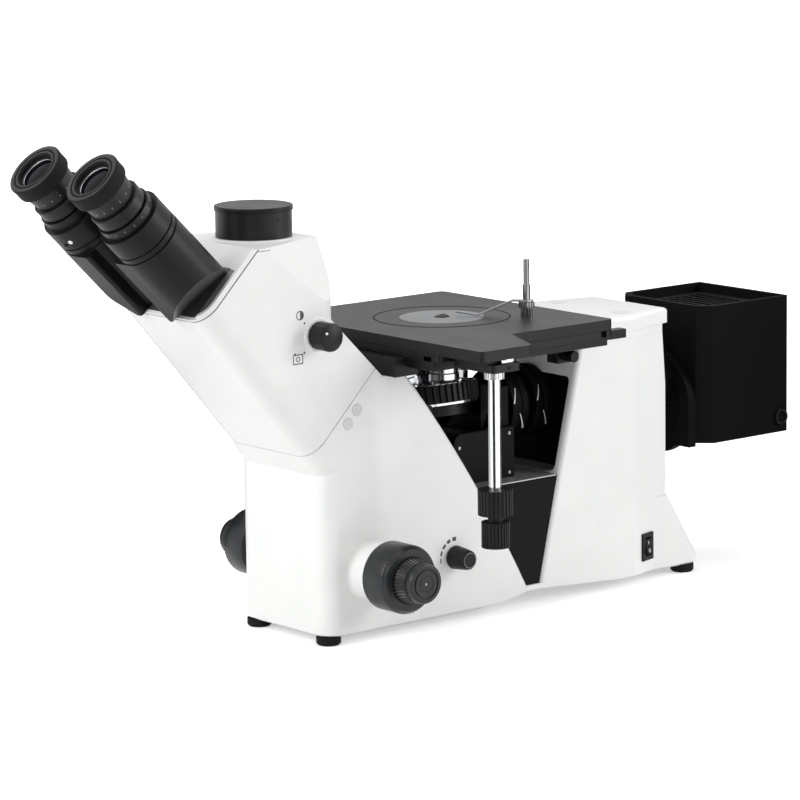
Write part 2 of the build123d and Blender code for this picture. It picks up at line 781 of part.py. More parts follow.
def prism_housing(side):
    """Prism housing with its tube; an ear reaches the pivot pin, one above the other."""
    box = Pos(-side * HOUSING_FLAT / 2, 0) * Rectangle(HOUSING_FLAT, 2 * HOUSING_R)
    box = fillet([v for v in box.vertices() if abs(v.X) > HOUSING_FLAT - 1], HOUSING_CORNER)
    solid = eye_plane(side, HOUSING_S) * extrude(box + Circle(HOUSING_R), HOUSING_L)
    wide = 6 * HOUSING_R
    turn = math.radians(HOUSING_CUT_TURN)
    lean = math.radians(HOUSING_CUT_TILT)
    level = math.sin(lean)
    outward = Vector(side * math.cos(turn) * level, -math.sin(turn) * level, -math.cos(lean))
    cut = Plane(origin=(0, 0, HOUSING_CUT), z_dir=outward) * Box(wide, wide, wide, align=LOW)
    solid -= eye_plane(side, HOUSING_S) * cut
    solid += eye_plane(side, RING_S) * Cylinder(RING_R, RING_L, align=LOW)
    groove = tube((0, 0, 0), UP, 2 * RING_R, RING_R - GROOVE_D, GROOVE_W)
    for place in GROOVES:
        solid -= eye_plane(side, RING_S + place) * groove
    neck = NECK_R if side > 0 else DIOPTER_R
    solid += eye_plane(side, NECK_S) * Cylinder(neck, DIOPTER_L + SLIDE_GAP, align=LOW)
    solid -= eye_plane(side, FLANGE_S - EYE_SLEEVE_L - SLIDE_GAP) * Cylinder(
        EYE_SLEEVE_R + RUN, 2 * EYE_SLEEVE_L, align=LOW
    )
    low = HOUSING_S + (EAR_T + SLIDE_GAP if side > 0 else 0)
    ear = cyl(on_head(0, PIVOT_T, low), SLOPE, EAR_R, EAR_T)
    reach = Plane(origin=on_head(side * EYE_X / 2, PIVOT_T - EAR_R / 4, low), x_dir=ACROSS, z_dir=SLOPE)
    ear += reach * Box(EYE_X, EAR_R, EAR_T, align=LOW)
    other = HOUSING_S + (0 if side > 0 else EAR_T + SLIDE_GAP)
    relief = cyl(on_head(0, PIVOT_T, other - SLIDE_GAP), SLOPE, EAR_R + 2 * SLIDE_GAP, EAR_T + 2 * SLIDE_GAP)
    solid = solid - relief + ear
    return solid - cyl(on_head(0, PIVOT_T, HOUSING_S - 1), SLOPE, PIVOT_R + RUN, 4 * EAR_T)


def diopter_ring():
    """Dioptre ring that turns on the neck of the right tube."""
    ring = tube((0, 0, 0), UP, DIOPTER_R, NECK_R + RUN, DIOPTER_L - SLIDE_GAP)
    return eye_plane(1, NECK_S + SLIDE_GAP) * ring


def eyepiece(side):
    """Eyepiece turned from one bar: sleeve, flange, barrel and a dished eyecup."""
    barrel0 = EYE_FLANGE_L
    cup0 = barrel0 + EYE_BARREL_L
    top = cup0 + EYECUP_L
    profile = (
        (EYECUP_MOUTH_R - 2, -EYE_SLEEVE_L),
        (EYE_SLEEVE_R, -EYE_SLEEVE_L),
        (EYE_SLEEVE_R, 0),
        (EYE_FLANGE_R - 0.8, 0),
        (EYE_FLANGE_R, 0.8),
        (EYE_FLANGE_R, barrel0 - 0.8),
        (EYE_FLANGE_R - 0.8, barrel0),
        (EYE_BARREL_R0, barrel0),
        (EYE_BARREL_R1, cup0 - 1),
        (EYE_BARREL_R1, cup0),
        (EYECUP_R - 0.6, cup0),
        (EYECUP_R, cup0 + 0.8),
        (EYECUP_R, top - 1.6),
        (EYECUP_R - 1.6, top),
        (EYECUP_MOUTH_R + 3.4, top),
        (EYECUP_MOUTH_R + 2.9, top - 0.6),
        (EYECUP_MOUTH_R + 2.4, top),
        (EYECUP_MOUTH_R + 1.4, top),
        (EYECUP_MOUTH_R, top - EYECUP_DEPTH / 2),
        (EYECUP_MOUTH_R, top - EYECUP_DEPTH - LENS_T),
        (EYECUP_MOUTH_R - 2, top - EYECUP_DEPTH - LENS_T),
    )
    return turned(eye_plane(side, FLANGE_S), profile)


def eye_lens(side):
    """Domed eye lens on its seat inside the eyecup."""
    low = FLANGE_S + EYE_FLANGE_L + EYE_BARREL_L + EYECUP_L - EYECUP_DEPTH - LENS_T
    return eye_plane(side, low) * domed_disc(EYECUP_MOUTH_R - SEAT, LENS_T, LENS_DOME)


def port_collar():
    """Black photo port tube on the head's boss."""
    return tube((0, PORT_Y, HEAD_TOP_Z + PORT_BOSS_H), UP, PORT_COLLAR_R, PORT_BORE_R, PORT_COLLAR_H)


def port_lid():
    """Push-in dust lid of the photo port."""
    top = HEAD_TOP_Z + PORT_BOSS_H + PORT_COLLAR_H
    lid = cyl((0, PORT_Y, top), UP, PORT_LID_R, PORT_LID_H)
    lid = fillet(edges_at(lid, lambda p: p.Z > top + PORT_LID_H - 0.1), 1.0)
    return lid + cyl((0, PORT_Y, top - PORT_PLUG_H), UP, PORT_BORE_R - SEAT, PORT_PLUG_H)


def beam_knob():
    """Facetted, domed knob that sends the light to the eyepieces or to the photo port."""
    x = BODY_HALF + SPLIT_BOSS_H + SLIDE_GAP
    plane = Plane(origin=(x, SPLIT_Y, SPLIT_Z), x_dir=BACK, z_dir=ACROSS)
    knob = plane * extrude(RegularPolygon(SPLIT_R, SPLIT_FACETS), SPLIT_L)
    knob = knob & plane * domed_disc(SPLIT_R, SPLIT_L - SPLIT_DOME, SPLIT_DOME)
    start = BODY_HALF - SPLIT_SHAFT_L
    return knob + cyl((start, SPLIT_Y, SPLIT_Z), ACROSS, SPLIT_SHAFT_R, x - start)


COARSE_X = BODY_HALF + COLLAR_L + 2 * SLIDE_GAP
FINE_X = COARSE_X + COARSE_L + SLIDE_GAP
FINE_END = FINE_X + FINE_L


def knob_collars():
    """White collars on both sides of the tower, with the shaft running through."""
    collar = turned(
        Plane(origin=(BODY_HALF, FOCUS_Y, FOCUS_Z), x_dir=BACK, z_dir=ACROSS),
        (
            (COARSE_SHAFT_R + RUN, 0),
            (COLLAR_R, 0),
            (COLLAR_R, COLLAR_L - 2),
            (COLLAR_R - 2, COLLAR_L),
            (COARSE_SHAFT_R + RUN, COLLAR_L),
        ),
    )
    return list(at_sides(collar))


def coarse_knob():
    """Right coarse knob: ribbed rim, chamfered, dished end face."""
    plane = Plane(origin=(COARSE_X, FOCUS_Y, FOCUS_Z), x_dir=BACK, z_dir=ACROSS)
    knob = ribbed(plane, COARSE_R, RIB_DEPTH / 2, COARSE_RIBS, COARSE_L)
    limit = turned(
        plane,
        (
            (COARSE_SHAFT_R + SEAT, 0),
            (COARSE_R - 1.5, 0),
            (COARSE_R + 1, 2.5),
            (COARSE_R + 1, COARSE_L - 4),
            (COARSE_R - 3, COARSE_L),
            (COARSE_SHAFT_R + SEAT, COARSE_L),
        ),
    )
    return knob & limit


def coarse_shaft():
    """Hollow coarse shaft across the tower."""
    end = COARSE_X + COARSE_L
    return tube((-end, FOCUS_Y, FOCUS_Z), ACROSS, COARSE_SHAFT_R, FINE_SHAFT_R + RUN, 2 * end)


def fine_knob():
    """Right fine knob: ribbed, with a ringed end face."""
    plane = Plane(origin=(FINE_X, FOCUS_Y, FOCUS_Z), x_dir=BACK, z_dir=ACROSS)
    knob = ribbed(plane, FINE_R, RIB_DEPTH, FINE_RIBS, FINE_L)
    knob -= plane.offset(FINE_L - 0.8) * tube((0, 0, 0), UP, FINE_R - 3, FINE_R - 4.4, 2)
    return knob - plane * Cylinder(FINE_SHAFT_R + SEAT, 4 * FINE_L)


def fine_shaft():
    """Fine shaft inside the coarse one, with its ends showing in the fine knobs."""
    return cyl((-FINE_END, FOCUS_Y, FOCUS_Z), ACROSS, FINE_SHAFT_R, 2 * FINE_END)


def brightness_knob():
    """Smooth tapered brightness knob with a rounded end."""
    x = BODY_HALF + SLIDE_GAP
    plane = Plane(origin=(x, LIGHT_Y, LIGHT_Z), x_dir=BACK, z_dir=ACROSS)
    knob = turned(plane, ((0, 0), (LIGHT_R0, 0), (LIGHT_R1, LIGHT_L), (0, LIGHT_L)))
    knob = fillet(knob.edges().sort_by(Axis.X)[-1], LIGHT_ROUND)
    start = BODY_HALF - LIGHT_SHAFT_L
    return knob + cyl((start, LIGHT_Y, LIGHT_Z), ACROSS, LIGHT_SHAFT_R, x - start)


def rocker_plane():
    """Frame of the rocker's pivot, inside the bezel."""
    return taper_plane(SWITCH_Y, SWITCH_Z)


def switch_bezel():
    """Bezel and body of the rocker switch, set into the pillar's side."""
    plane = rocker_plane()
    window_w = SWITCH_W - 2 * SWITCH_RIM
    window_h = SWITCH_H - 2 * SWITCH_RIM
    solid = extrude(Rectangle(SWITCH_W, SWITCH_H), SWITCH_FLANGE)
    solid += Pos(0, 0, -SWITCH_DEPTH) * extrude(Rectangle(window_w, window_h), SWITCH_DEPTH)
    inner = Rectangle(window_w - SWITCH_RIM, window_h - SWITCH_RIM)
    solid -= Pos(0, 0, 2 * SWITCH_FLANGE - SWITCH_DEPTH) * extrude(inner, 2 * SWITCH_DEPTH)
    solid -= Plane.YZ * Cylinder(ROCKER_PIN_R + RUN, window_w - SWITCH_RIM / 2)
    return plane * solid


def rocker():
    """Rocker with its two faces at an angle, on a pin across the bezel."""
    width = SWITCH_W - 3 * SWITCH_RIM - 2 * SLIDE_GAP
    half = (SWITCH_H - 3 * SWITCH_RIM) / 2 - ROCKER_ROOM
    rise = half * math.tan(math.radians(ROCKER_TILT))
    outline = make_face(
        Plane.YZ * Polyline(
            (-half, SWITCH_FLANGE + 2 * rise),
            (0, SWITCH_FLANGE + rise / 2),
            (half, SWITCH_FLANGE),
            (half - rise, -ROCKER_T + rise),
            (-half + rise, -ROCKER_T + rise),
            close=True,
        )
    )
    solid = extrude(outline, width / 2, both=True)
    pin = Plane.YZ * Cylinder(ROCKER_PIN_R, width + SWITCH_RIM / 2)
    return rocker_plane() * (solid + pin)


def power_inlet():
    """Flush mains inlet with a rounded socket and three contact blades."""
    plane = Plane(origin=(0, PILLAR_REAR_Y, INLET_Z), x_dir=ACROSS, z_dir=BACK)
    core_w = INLET_W - 2 * INLET_RIM
    core_h = INLET_H - 2 * INLET_RIM
    solid = extrude(RectangleRounded(INLET_W, INLET_H, INLET_RIM), INLET_FLANGE)
    solid += Pos(0, 0, -INLET_DEPTH) * extrude(Rectangle(core_w, core_h), INLET_DEPTH)
    socket_face = RectangleRounded(core_w - INLET_RIM, core_h - INLET_RIM, INLET_RIM)
    solid -= Pos(0, 0, INLET_RIM - INLET_DEPTH) * extrude(socket_face, 2 * INLET_DEPTH)
    for x, y in ((-INLET_W / 5, -1), (0, 2), (INLET_W / 5, -1)):
        solid += Pos(x, y, INLET_RIM - INLET_DEPTH) * extrude(Rectangle(2, 4), INLET_DEPTH - 2 * INLET_RIM)
    return plane * solid


LEAN = math.radians(TURRET_TILT)
TURRET_AXIS = (-math.sin(LEAN), 0, math.cos(LEAN))
TURRET_OUT = Vector(math.cos(LEAN), 0, math.sin(LEAN))
TURRET_CENTRE = Vector(0, 0, SHOULDER_Z) - TURRET_OUT * OBJECTIVE_CIRCLE
TURRET = Plane(origin=TURRET_CENTRE, x_dir=BACK, z_dir=TURRET_AXIS)


def objective_plane(number):
    """Frame at the shoulder of one objective, its normal along the objective."""
    angle = 2 * math.pi * number / OBJECTIVE_COUNT
    out = TURRET_OUT * math.cos(angle) + Vector(0, 1, 0) * math.sin(angle)
    direction = Vector(*TURRET_AXIS) * math.cos(LEAN) + out * math.sin(LEAN)
    return Plane(origin=TURRET_CENTRE + out * OBJECTIVE_CIRCLE, z_dir=direction)


def objectives():
    """Five objectives of different lengths, each with its thread in the turret."""
    pieces = []
    for number, length in enumerate(OBJ_LENGTHS[:OBJECTIVE_COUNT]):
        seat = OBJ_R * math.tan(LEAN)
        profile = (
            (0, -THREAD_L),
            (THREAD_R, -THREAD_L),
            (THREAD_R, seat),
            (OBJ_R, seat),
            (OBJ_R, OBJ_BASE_L),
            (OBJ_R - 0.8, OBJ_BASE_L + 0.8),
            (OBJ_R - 0.8, length - OBJ_NOSE_L),
            (OBJ_NOSE_R, length - 1),
            (OBJ_NOSE_R - 1, length),
            (OBJ_NOSE_R - 3, length - 0.6),
            (0, length - 0.6),
        )
        pieces.append(turned(objective_plane(number), profile))
    return pieces


def turret_plate():
    """Chrome turret plate with its pivot bore and the objectives' threaded holes."""
    r = TURRET_R - TURRET_RING_WALL
    profile = (
        (TURRET_PIN_R + RUN, -TURRET_PLATE_T),
        (r, -TURRET_PLATE_T),
        (r, -2),
        (r - 2, 0),
        (TURRET_PIN_R + RUN, 0),
    )
    solid = turned(TURRET, profile)
    for number in range(OBJECTIVE_COUNT):
        solid -= objective_plane(number).offset(-2 * TURRET_PLATE_T) * Cylinder(
            THREAD_R + SEAT, 4 * TURRET_PLATE_T, align=LOW
        )
    return solid


def turret_ring():
    """Ribbed grip ring round the turret plate."""
    plane = TURRET.offset(-1 - TURRET_RING_H)
    ring = ribbed(plane, TURRET_R, TURRET_RIB_D, TURRET_RIBS, TURRET_RING_H)
    return ring - plane * Cylinder(TURRET_R - TURRET_RING_WALL + SEAT, 4 * TURRET_RING_H)


def nose_carriage():
    """Carriage under the turret: tilted carrier, pivot pin and the dovetail slide in front."""
    top = -TURRET_PLATE_T - SLIDE_GAP
    carrier = TURRET.offset(top - CARRIER_T) * Cylinder(CARRIER_R, CARRIER_T, align=LOW)
    pin = TURRET.offset(top - CARRIER_T) * Cylinder(TURRET_PIN_R, CARRIER_T + TURRET_PLATE_T, align=LOW)
    low = TURRET.offset(top - CARRIER_T).origin
    slide = block(-CARRIAGE_HALF, CARRIAGE_HALF, CARRIAGE_Y0, CARRIAGE_Y1, CARRIAGE_Z0, low.Z)
    arm = block(ARM_X0, ARM_X1, CARRIAGE_Y0, ARM_Y1, low.Z - 2 * CARRIER_T, TURRET_CENTRE.Z)
    solid = slide + arm + carrier
    solid -= cyl((0, 0, CARRIAGE_Z0), UP, LIGHT_PATH_R, SHELF_Z)
    solid -= TURRET.offset(top) * Cylinder(3 * CARRIER_R, 4 * CARRIER_T, align=LOW)
    solid -= dovetail(SLIDE_GAP)
    return solid + pin


def dovetail(grow):
    """Upright dovetail bar on the tower's pocket wall, grown by a clearance."""
    root = GUIDE_HALF + grow
    tip = GUIDE_HALF + GUIDE_FLARE + grow
    face = CARRIAGE_Y0 + GUIDE_T / 2 + grow
    neck = CARRIAGE_Y0 - SLIDE_GAP
    points = ((-root, POCKET_Y0), (root, POCKET_Y0), (root, neck), (tip, face), (-tip, face), (-root, neck))
    return plan_prism(points, DECK_Z, GUIDE_Z1 + (SHELF_Z if grow else 0))


def stage_plate(inset, z0, z1, wing):
    """Stage plate outline; the upper one runs out to a wing at its right front corner."""
    x0 = STAGE_X0 + inset
    x1 = STAGE_X1 - inset
    y0 = STAGE_Y0 + inset
    y1 = STAGE_Y1 - inset
    points = [(x0, y0)]
    if wing:
        points += [(WING_X, y0), (WING_X, WING_Y), (x1, WING_Y + WING_RUN)]
    else:
        points += [(x1, y0)]
    points += [(x1, y1), (x0, y1)]
    solid = plan_prism(points, z0, z1)
    middle = (z0 + z1) / 2
    corners = edges_at(solid, lambda p: abs(p.Z - middle) < 0.1 and abs(p.Y - (WING_Y + WING_RUN)) > 1)
    return fillet(corners, STAGE_ROUND)


UPPER_Z = STAGE_Z - UPPER_T
LOWER_TOP = UPPER_Z - SLIDE_GAP
LOWER_Z = LOWER_TOP - LOWER_T
BASE_TOP = LOWER_Z - SLIDE_GAP
BASE_LOW = BASE_TOP - BASE_T


def stage_upper():
    """Upper stage plate with the stepped seat of the insert ring."""
    solid = stage_plate(0, UPPER_Z, STAGE_Z, True)
    solid -= cyl((0, 0, STAGE_Z - INSERT_T), UP, INSERT_R, INSERT_T)
    solid -= cyl((0, 0, UPPER_Z), UP, INSERT_LEDGE_R, UPPER_T)
    return solid - cyl((CLIP_X, CLIP_Y, UPPER_Z), UP, CLIP_TIP_R + SEAT, UPPER_T)


def stage_insert():
    """Insert ring, flush with the plate, with the seat of the specimen disc."""
    ring = cyl((0, 0, STAGE_Z - INSERT_T), UP, INSERT_R - 2 * SLIDE_GAP, INSERT_T)
    ring -= cyl((0, 0, STAGE_Z - DISC_T), UP, DISC_R, DISC_T)
    return ring - cyl((0, 0, STAGE_Z - INSERT_T), UP, DISC_LEDGE_R, INSERT_T)


def specimen_disc():
    """Thin specimen disc with a drop-shaped window."""
    low = STAGE_Z - DISC_T
    window = make_hull((Circle(DISC_HOLE_R) + Pos(DISC_DROP_L, 0) * Circle(DISC_DROP_R)).edges())
    turn = Plane(origin=(0, 0, low)) * Rot(0, 0, DISC_DROP_TURN)
    return cyl((0, 0, low), UP, DISC_R - SEAT, DISC_T) - turn * extrude(window, DISC_T)


def stage_lower():
    """Lower stage plate: slides on the rails and carries the control bracket."""
    solid = stage_plate(LOWER_INSET, LOWER_Z, LOWER_TOP, False)
    solid += block(TONGUE_X0, TONGUE_X1, BRACKET_Y0, BRACKET_Y1, BRACKET_TOP, LOWER_TOP)
    half = NOTCH_W / 2
    solid -= block(STAGE_X1 - NOTCH_D, STAGE_X1, NOTCH_Y - half, NOTCH_Y + half, LOWER_Z, LOWER_TOP)
    solid -= block(-OPEN_X, OPEN_X, LOWER_OPEN_Y0, LOWER_OPEN_Y1, LOWER_Z, LOWER_TOP)
    groove = RAIL_W / 2 + SLIDE_GAP
    for x in (-RAIL_X, RAIL_X):
        high = BASE_TOP + RAIL_H + SLIDE_GAP
        solid -= block(x - groove, x + groove, -2 * STAGE_Y1, 2 * STAGE_Y1, LOWER_Z, high)
    return solid


def stage_base():
    """Fixed base of the stage, with pads on the tower's shelf and the pillar's ledge."""
    solid = block(-BASE_X, BASE_X, STAGE_Y0, STAGE_Y1, BASE_LOW, BASE_TOP)
    solid += block(-BASE_PAD_X, BASE_PAD_X, BASE_PAD_Y0, BASE_PAD_Y1, SHELF_Z, BASE_TOP)
    half = BODY_HALF - WALL
    solid += block(-half, half, PILLAR_FRONT_TOP_Y - WALL, BASE_Y1, SHELF_Z, BASE_TOP)
    solid += block(-half, half, STAGE_Y1 - WALL, BASE_Y1, BASE_LOW, BASE_TOP)
    solid -= block(-OPEN_X, OPEN_X, BASE_OPEN_Y0, BASE_OPEN_Y1, BASE_LOW, BASE_TOP)
    lug_x = CLAMP_X - SLIDE_GAP
    wide = CLAMP_LUG_W / 2
    start = lug_x - CLAMP_SHANK_L
    lug = block(start, lug_x, CLAMP_Y - wide, CLAMP_Y + wide, CLAMP_Z - wide, BASE_LOW)
    return solid + lug - cyl((start, CLAMP_Y, CLAMP_Z), ACROSS, CLAMP_SHANK_R + RUN, CLAMP_SHANK_L)


def stage_rails():
    """Two guide rails on the stage base; they stand out behind the stage."""
    half = RAIL_W / 2
    top = BASE_TOP + RAIL_H
    rails = []
    for x in (-RAIL_X, RAIL_X):
        rail = block(x - half, x + half, RAIL_Y0, RAIL_Y1, BASE_TOP, top)
        rails.append(rail + block(x - half, x + half, STAGE_Y1, RAIL_Y1, BASE_TOP - RAIL_DROP, top))
    return rails


def clamp_screw():
    """Knurled stage clamp screw, its shank in the lug under the base."""
    plane = Plane(origin=(CLAMP_X, CLAMP_Y, CLAMP_Z), x_dir=BACK, z_dir=ACROSS)
    return ribbed(plane, CLAMP_R, RIB_DEPTH, CLAMP_RIBS, CLAMP_L) + cyl(
        (CLAMP_X - CLAMP_SHANK_L, CLAMP_Y, CLAMP_Z), ACROSS, CLAMP_SHANK_R, CLAMP_SHANK_L
    )


BRACKET_TOP = LOWER_TOP - TONGUE_T
BRACKET_Z = BRACKET_TOP - BRACKET_T
ROD_END = BRACKET_Z - ROD_L
Y_KNOB_Z = ROD_END - Y_KNOB_L
X_KNOB_Z = Y_KNOB_Z - KNOB_NECK - X_KNOB_L


def control_bracket():
    """Black bracket under the stage's wing that carries the control rod."""
    solid = block(BRACKET_X0, BRACKET_X1, BRACKET_Y0, BRACKET_Y1, BRACKET_Z, BRACKET_TOP)
    corners = edges_at(solid, lambda p: abs(p.Z - (BRACKET_Z + BRACKET_TOP) / 2) < 0.1 and p.X > ROD_X)
    solid = fillet(corners, STAGE_ROUND)
    return solid - cyl((ROD_X, ROD_Y, BRACKET_Z), UP, ROD_R + RUN, BRACKET_T)


def control_tube():
    """Chrome outer tube of the control rod, with its serrated stop ring."""
    solid = cyl((ROD_X, ROD_Y, Y_KNOB_Z), UP, ROD_R, BRACKET_TOP - SLIDE_GAP - Y_KNOB_Z)
    ring = Plane(origin=(ROD_X, ROD_Y, BRACKET_Z - SLIDE_GAP - STOP_RING_H))
    solid += ribbed(ring, STOP_RING_R, RIB_DEPTH, CONTROL_RIBS, STOP_RING_H)
    return solid - cyl((ROD_X, ROD_Y, Y_KNOB_Z), UP, ROD_CORE_R + RUN, 2 * ROD_L)


def y_knob():
    """Upper control knob, fixed to the tube."""
    plane = Plane(origin=(ROD_X, ROD_Y, Y_KNOB_Z))
    knob = ribbed(plane, Y_KNOB_R, RIB_DEPTH, CONTROL_RIBS, Y_KNOB_L)
    return knob - plane * Cylinder(ROD_R + SEAT, 4 * Y_KNOB_L)


def x_knob():
    """Lower control knob with its neck and the inner shaft that runs up the tube."""
    plane = Plane(origin=(ROD_X, ROD_Y, X_KNOB_Z))
    knob = ribbed(plane, X_KNOB_R, RIB_DEPTH, CONTROL_RIBS, X_KNOB_L)
    neck = plane.offset(X_KNOB_L) * Cylinder(ROD_R + 1, KNOB_NECK - SLIDE_GAP, align=LOW)
    shaft = cyl((ROD_X, ROD_Y, X_KNOB_Z), UP, ROD_CORE_R, BRACKET_TOP - SLIDE_GAP - X_KNOB_Z)
    return knob + neck + shaft


def clip_post():
    """Clip post: fluted foot on the plate, stepped chrome rod, spigot below."""
    foot = ribbed(Plane(origin=(CLIP_X, CLIP_Y, STAGE_Z)), CLIP_FOOT_R, RIB_DEPTH, 12, CLIP_FOOT_H)
    solid = foot + cyl((CLIP_X, CLIP_Y, STAGE_Z), UP, CLIP_POST_R, CLIP_POST_H)
    solid += cyl((CLIP_X, CLIP_Y, STAGE_Z), UP, CLIP_TIP_R, CLIP_TIP_H)
    return solid + cyl((CLIP_X, CLIP_Y, UPPER_Z), UP, CLIP_TIP_R, UPPER_T)


CLIP_COLLAR_Z = STAGE_Z + CLIP_FOOT_H + SLIDE_GAP
CLIP_ARM_Z = CLIP_COLLAR_Z + CLIP_COLLAR_H + SLIDE_GAP


def clip_collar():
    """Knurled collar that slides on the post."""
    plane = Plane(origin=(CLIP_X, CLIP_Y, CLIP_COLLAR_Z))
    collar = ribbed(plane, CLIP_COLLAR_R, RIB_DEPTH, 18, CLIP_COLLAR_H)
    return collar - cyl((CLIP_X, CLIP_Y, CLIP_COLLAR_Z), UP, CLIP_POST_R + RUN, CLIP_COLLAR_H)


def clip_arm():
    """Bent spring arm from an eye on the post down to its needle tip over the specimen."""
    reach = Vector(CLIP_TIP_X - CLIP_X, CLIP_TIP_Y - CLIP_Y, 0)
    run = reach.length
    along = reach.normalized()
    side = Plane(origin=(CLIP_X, CLIP_Y, 0), x_dir=along, z_dir=along.cross(Vector(0, 0, 1)))
    high = CLIP_ARM_Z
    low = STAGE_Z + CLIP_DROP
    t = CLIP_ARM_T
    upper = (
        (0, high + t),
        (run * 0.2, high + t),
        (run * 0.62, low + t + 1.5),
        (run * 0.7, low + t),
        (run, low + t + CLIP_TIP_RISE),
    )
    lower = tuple((u, v - t) for u, v in reversed(upper))
    half = CLIP_ARM_W / 2
    strip = side * extrude(make_face(Polyline(*upper, *lower, close=True)), half, both=True)
    plan = Plane(origin=(CLIP_X, CLIP_Y, 0), x_dir=along, z_dir=UP)
    point = CLIP_POINT / 2
    taper = Polyline(
        (-half, -half),
        (run * 0.58, -half),
        (run * 0.74, -point),
        (run, -point),
        (run, point),
        (run * 0.74, point),
        (run * 0.58, half),
        (-half, half),
        close=True,
    )
    strip = strip & plan * extrude(make_face(taper), 2 * STAGE_Z)
    eye = cyl((CLIP_X, CLIP_Y, high), UP, CLIP_COLLAR_R - 1, t)
    return strip + eye - cyl((CLIP_X, CLIP_Y, low), UP, CLIP_POST_R + RUN, CLIP_TIP_H)


def illuminator_block():
    """Black mirror block on the deck, with a side plate and a post up to the illuminator tube."""
    solid = block(-BLOCK_HALF, BLOCK_HALF, BLOCK_Y0, BLOCK_Y1, DECK_Z, BLOCK_TOP_Z)
    solid = fillet(edges_at(solid, lambda p: abs(p.X) < 1 and p.Z > BLOCK_TOP_Z - 1), BLOCK_ROUND)
    plate = block(BLOCK_HALF - BLOCK_PLATE_T, BLOCK_HALF, BLOCK_Y0, BLOCK_Y1, DECK_Z, BLOCK_PLATE_Z)
    front = edges_at(plate, lambda p: p.Y < BLOCK_Y0 + 1 and p.Z > BLOCK_PLATE_Z - 1)
    solid += fillet(front, BLOCK_PLATE_ROUND)
    solid += block(POST_X0, POST_X1, POST_Y0, BLOCK_Y1, DECK_Z, POST_TOP_Z)
    return solid + block(POST_X0, POST_X1, POST_Y0, TUBE_Y0, BLOCK_PLATE_Z, POST_TOP_Z)


def illuminator_tube():
    """Horizontal illuminator tube from the block through the pillar."""
    length = PILLAR_REAR_Y - MOUNT_SPIGOT_L - COLLECTOR_T - TUBE_Y0
    return tube((0, TUBE_Y0, LIGHT_AXIS_Z), BACK, TUBE_R, TUBE_BORE_R, length)


def diaphragm_ring(y):
    """Diaphragm ring that turns on the illuminator tube, with a raised lever pad."""
    ring = tube((0, y, LIGHT_AXIS_Z), BACK, DIA_R, TUBE_R + RUN, DIA_L)
    rim = tube((0, y + DIA_L / 3, LIGHT_AXIS_Z), BACK, 2 * DIA_R, DIA_R - 1, DIA_L / 3)
    return ring - rim


def cavity_panel():
    """Black panel at the back of the pillar's pocket, round the tube."""
    panel = pocket(-SLIDE_GAP, PILLAR_POCKET_Y - PANEL_T, PILLAR_POCKET_Y)
    return panel - cyl((0, 0, LIGHT_AXIS_Z), BACK, TUBE_R + SEAT, 2 * PILLAR_POCKET_Y)


def lamp_mount():
    """Arched mount plate with its tube, between pillar and lamp house."""
    y = LAMP_Y0 - MOUNT_T
    arch = cyl((0, y, MOUNT_ARCH_Z), BACK, MOUNT_HALF, MOUNT_T)
    arch += block(-MOUNT_HALF, MOUNT_HALF, y, LAMP_Y0, MOUNT_LOW_Z, MOUNT_ARCH_Z)
    arch -= cyl((0, y, MOUNT_ARCH_Z), BACK, MOUNT_RECESS_R, MOUNT_T / 2)
    solid = arch + cyl((0, PILLAR_REAR_Y, LAMP_AXIS_Z), BACK, MOUNT_TUBE_R, LAMP_Y0 - PILLAR_REAR_Y)
    inner = PILLAR_REAR_Y - MOUNT_SPIGOT_L
    solid += cyl((0, inner, LAMP_AXIS_Z), BACK, MOUNT_SPIGOT_R, MOUNT_SPIGOT_L)
    return solid - cyl((0, inner, LAMP_AXIS_Z), BACK, COLLECTOR_R + SEAT, LAMP_Y0)


def lamp_plan(inset):
    """Plan of the lamp house, drawn in by an inset, its two front corners cut off."""
    x = LAMP_HALF - inset
    y0 = LAMP_Y0 + inset
    y1 = LAMP_Y1 - inset
    cut = LAMP_CHAMFER
    return ((x - cut, y0), (x, y0 + cut), (x, y1), (-x, y1), (-x, y0 + cut), (cut - x, y0))


def lamp_shell():
    """Lamp house: open-topped box with vents behind and a hole for the light."""
    solid = plan_prism(lamp_plan(0), LAMP_Z0, LAMP_Z1)
    middle = (LAMP_Z0 + LAMP_Z1) / 2
    upright = edges_at(solid, lambda p: abs(p.Z - middle) < 0.1)
    solid = fillet(upright, LAMP_ROUND)
    solid -= plan_prism(lamp_plan(LAMP_WALL), LAMP_Z0 + LAMP_WALL, LAMP_Z1)
    solid -= cyl((0, LAMP_Y0, LAMP_AXIS_Z), BACK, COLLECTOR_R + SEAT, LAMP_WALL)
    step = (LAMP_Z1 - LAMP_Z0) / (SLAT_COUNT + 3)
    for row in range(SLAT_COUNT - 3):
        z = LAMP_Z0 + (row + 3) * step
        solid -= block(-LAMP_HALF / 2, LAMP_HALF / 2, LAMP_Y1 - LAMP_WALL, LAMP_Y1, z, z + step / 3)
    seat = (LAMP_HALF - LAMP_SCREW_T / 2, LAMP_SCREW_Y, LAMP_SCREW_Z)
    return solid - cyl(seat, ACROSS, LAMP_SCREW_R + SEAT, LAMP_SCREW_T)


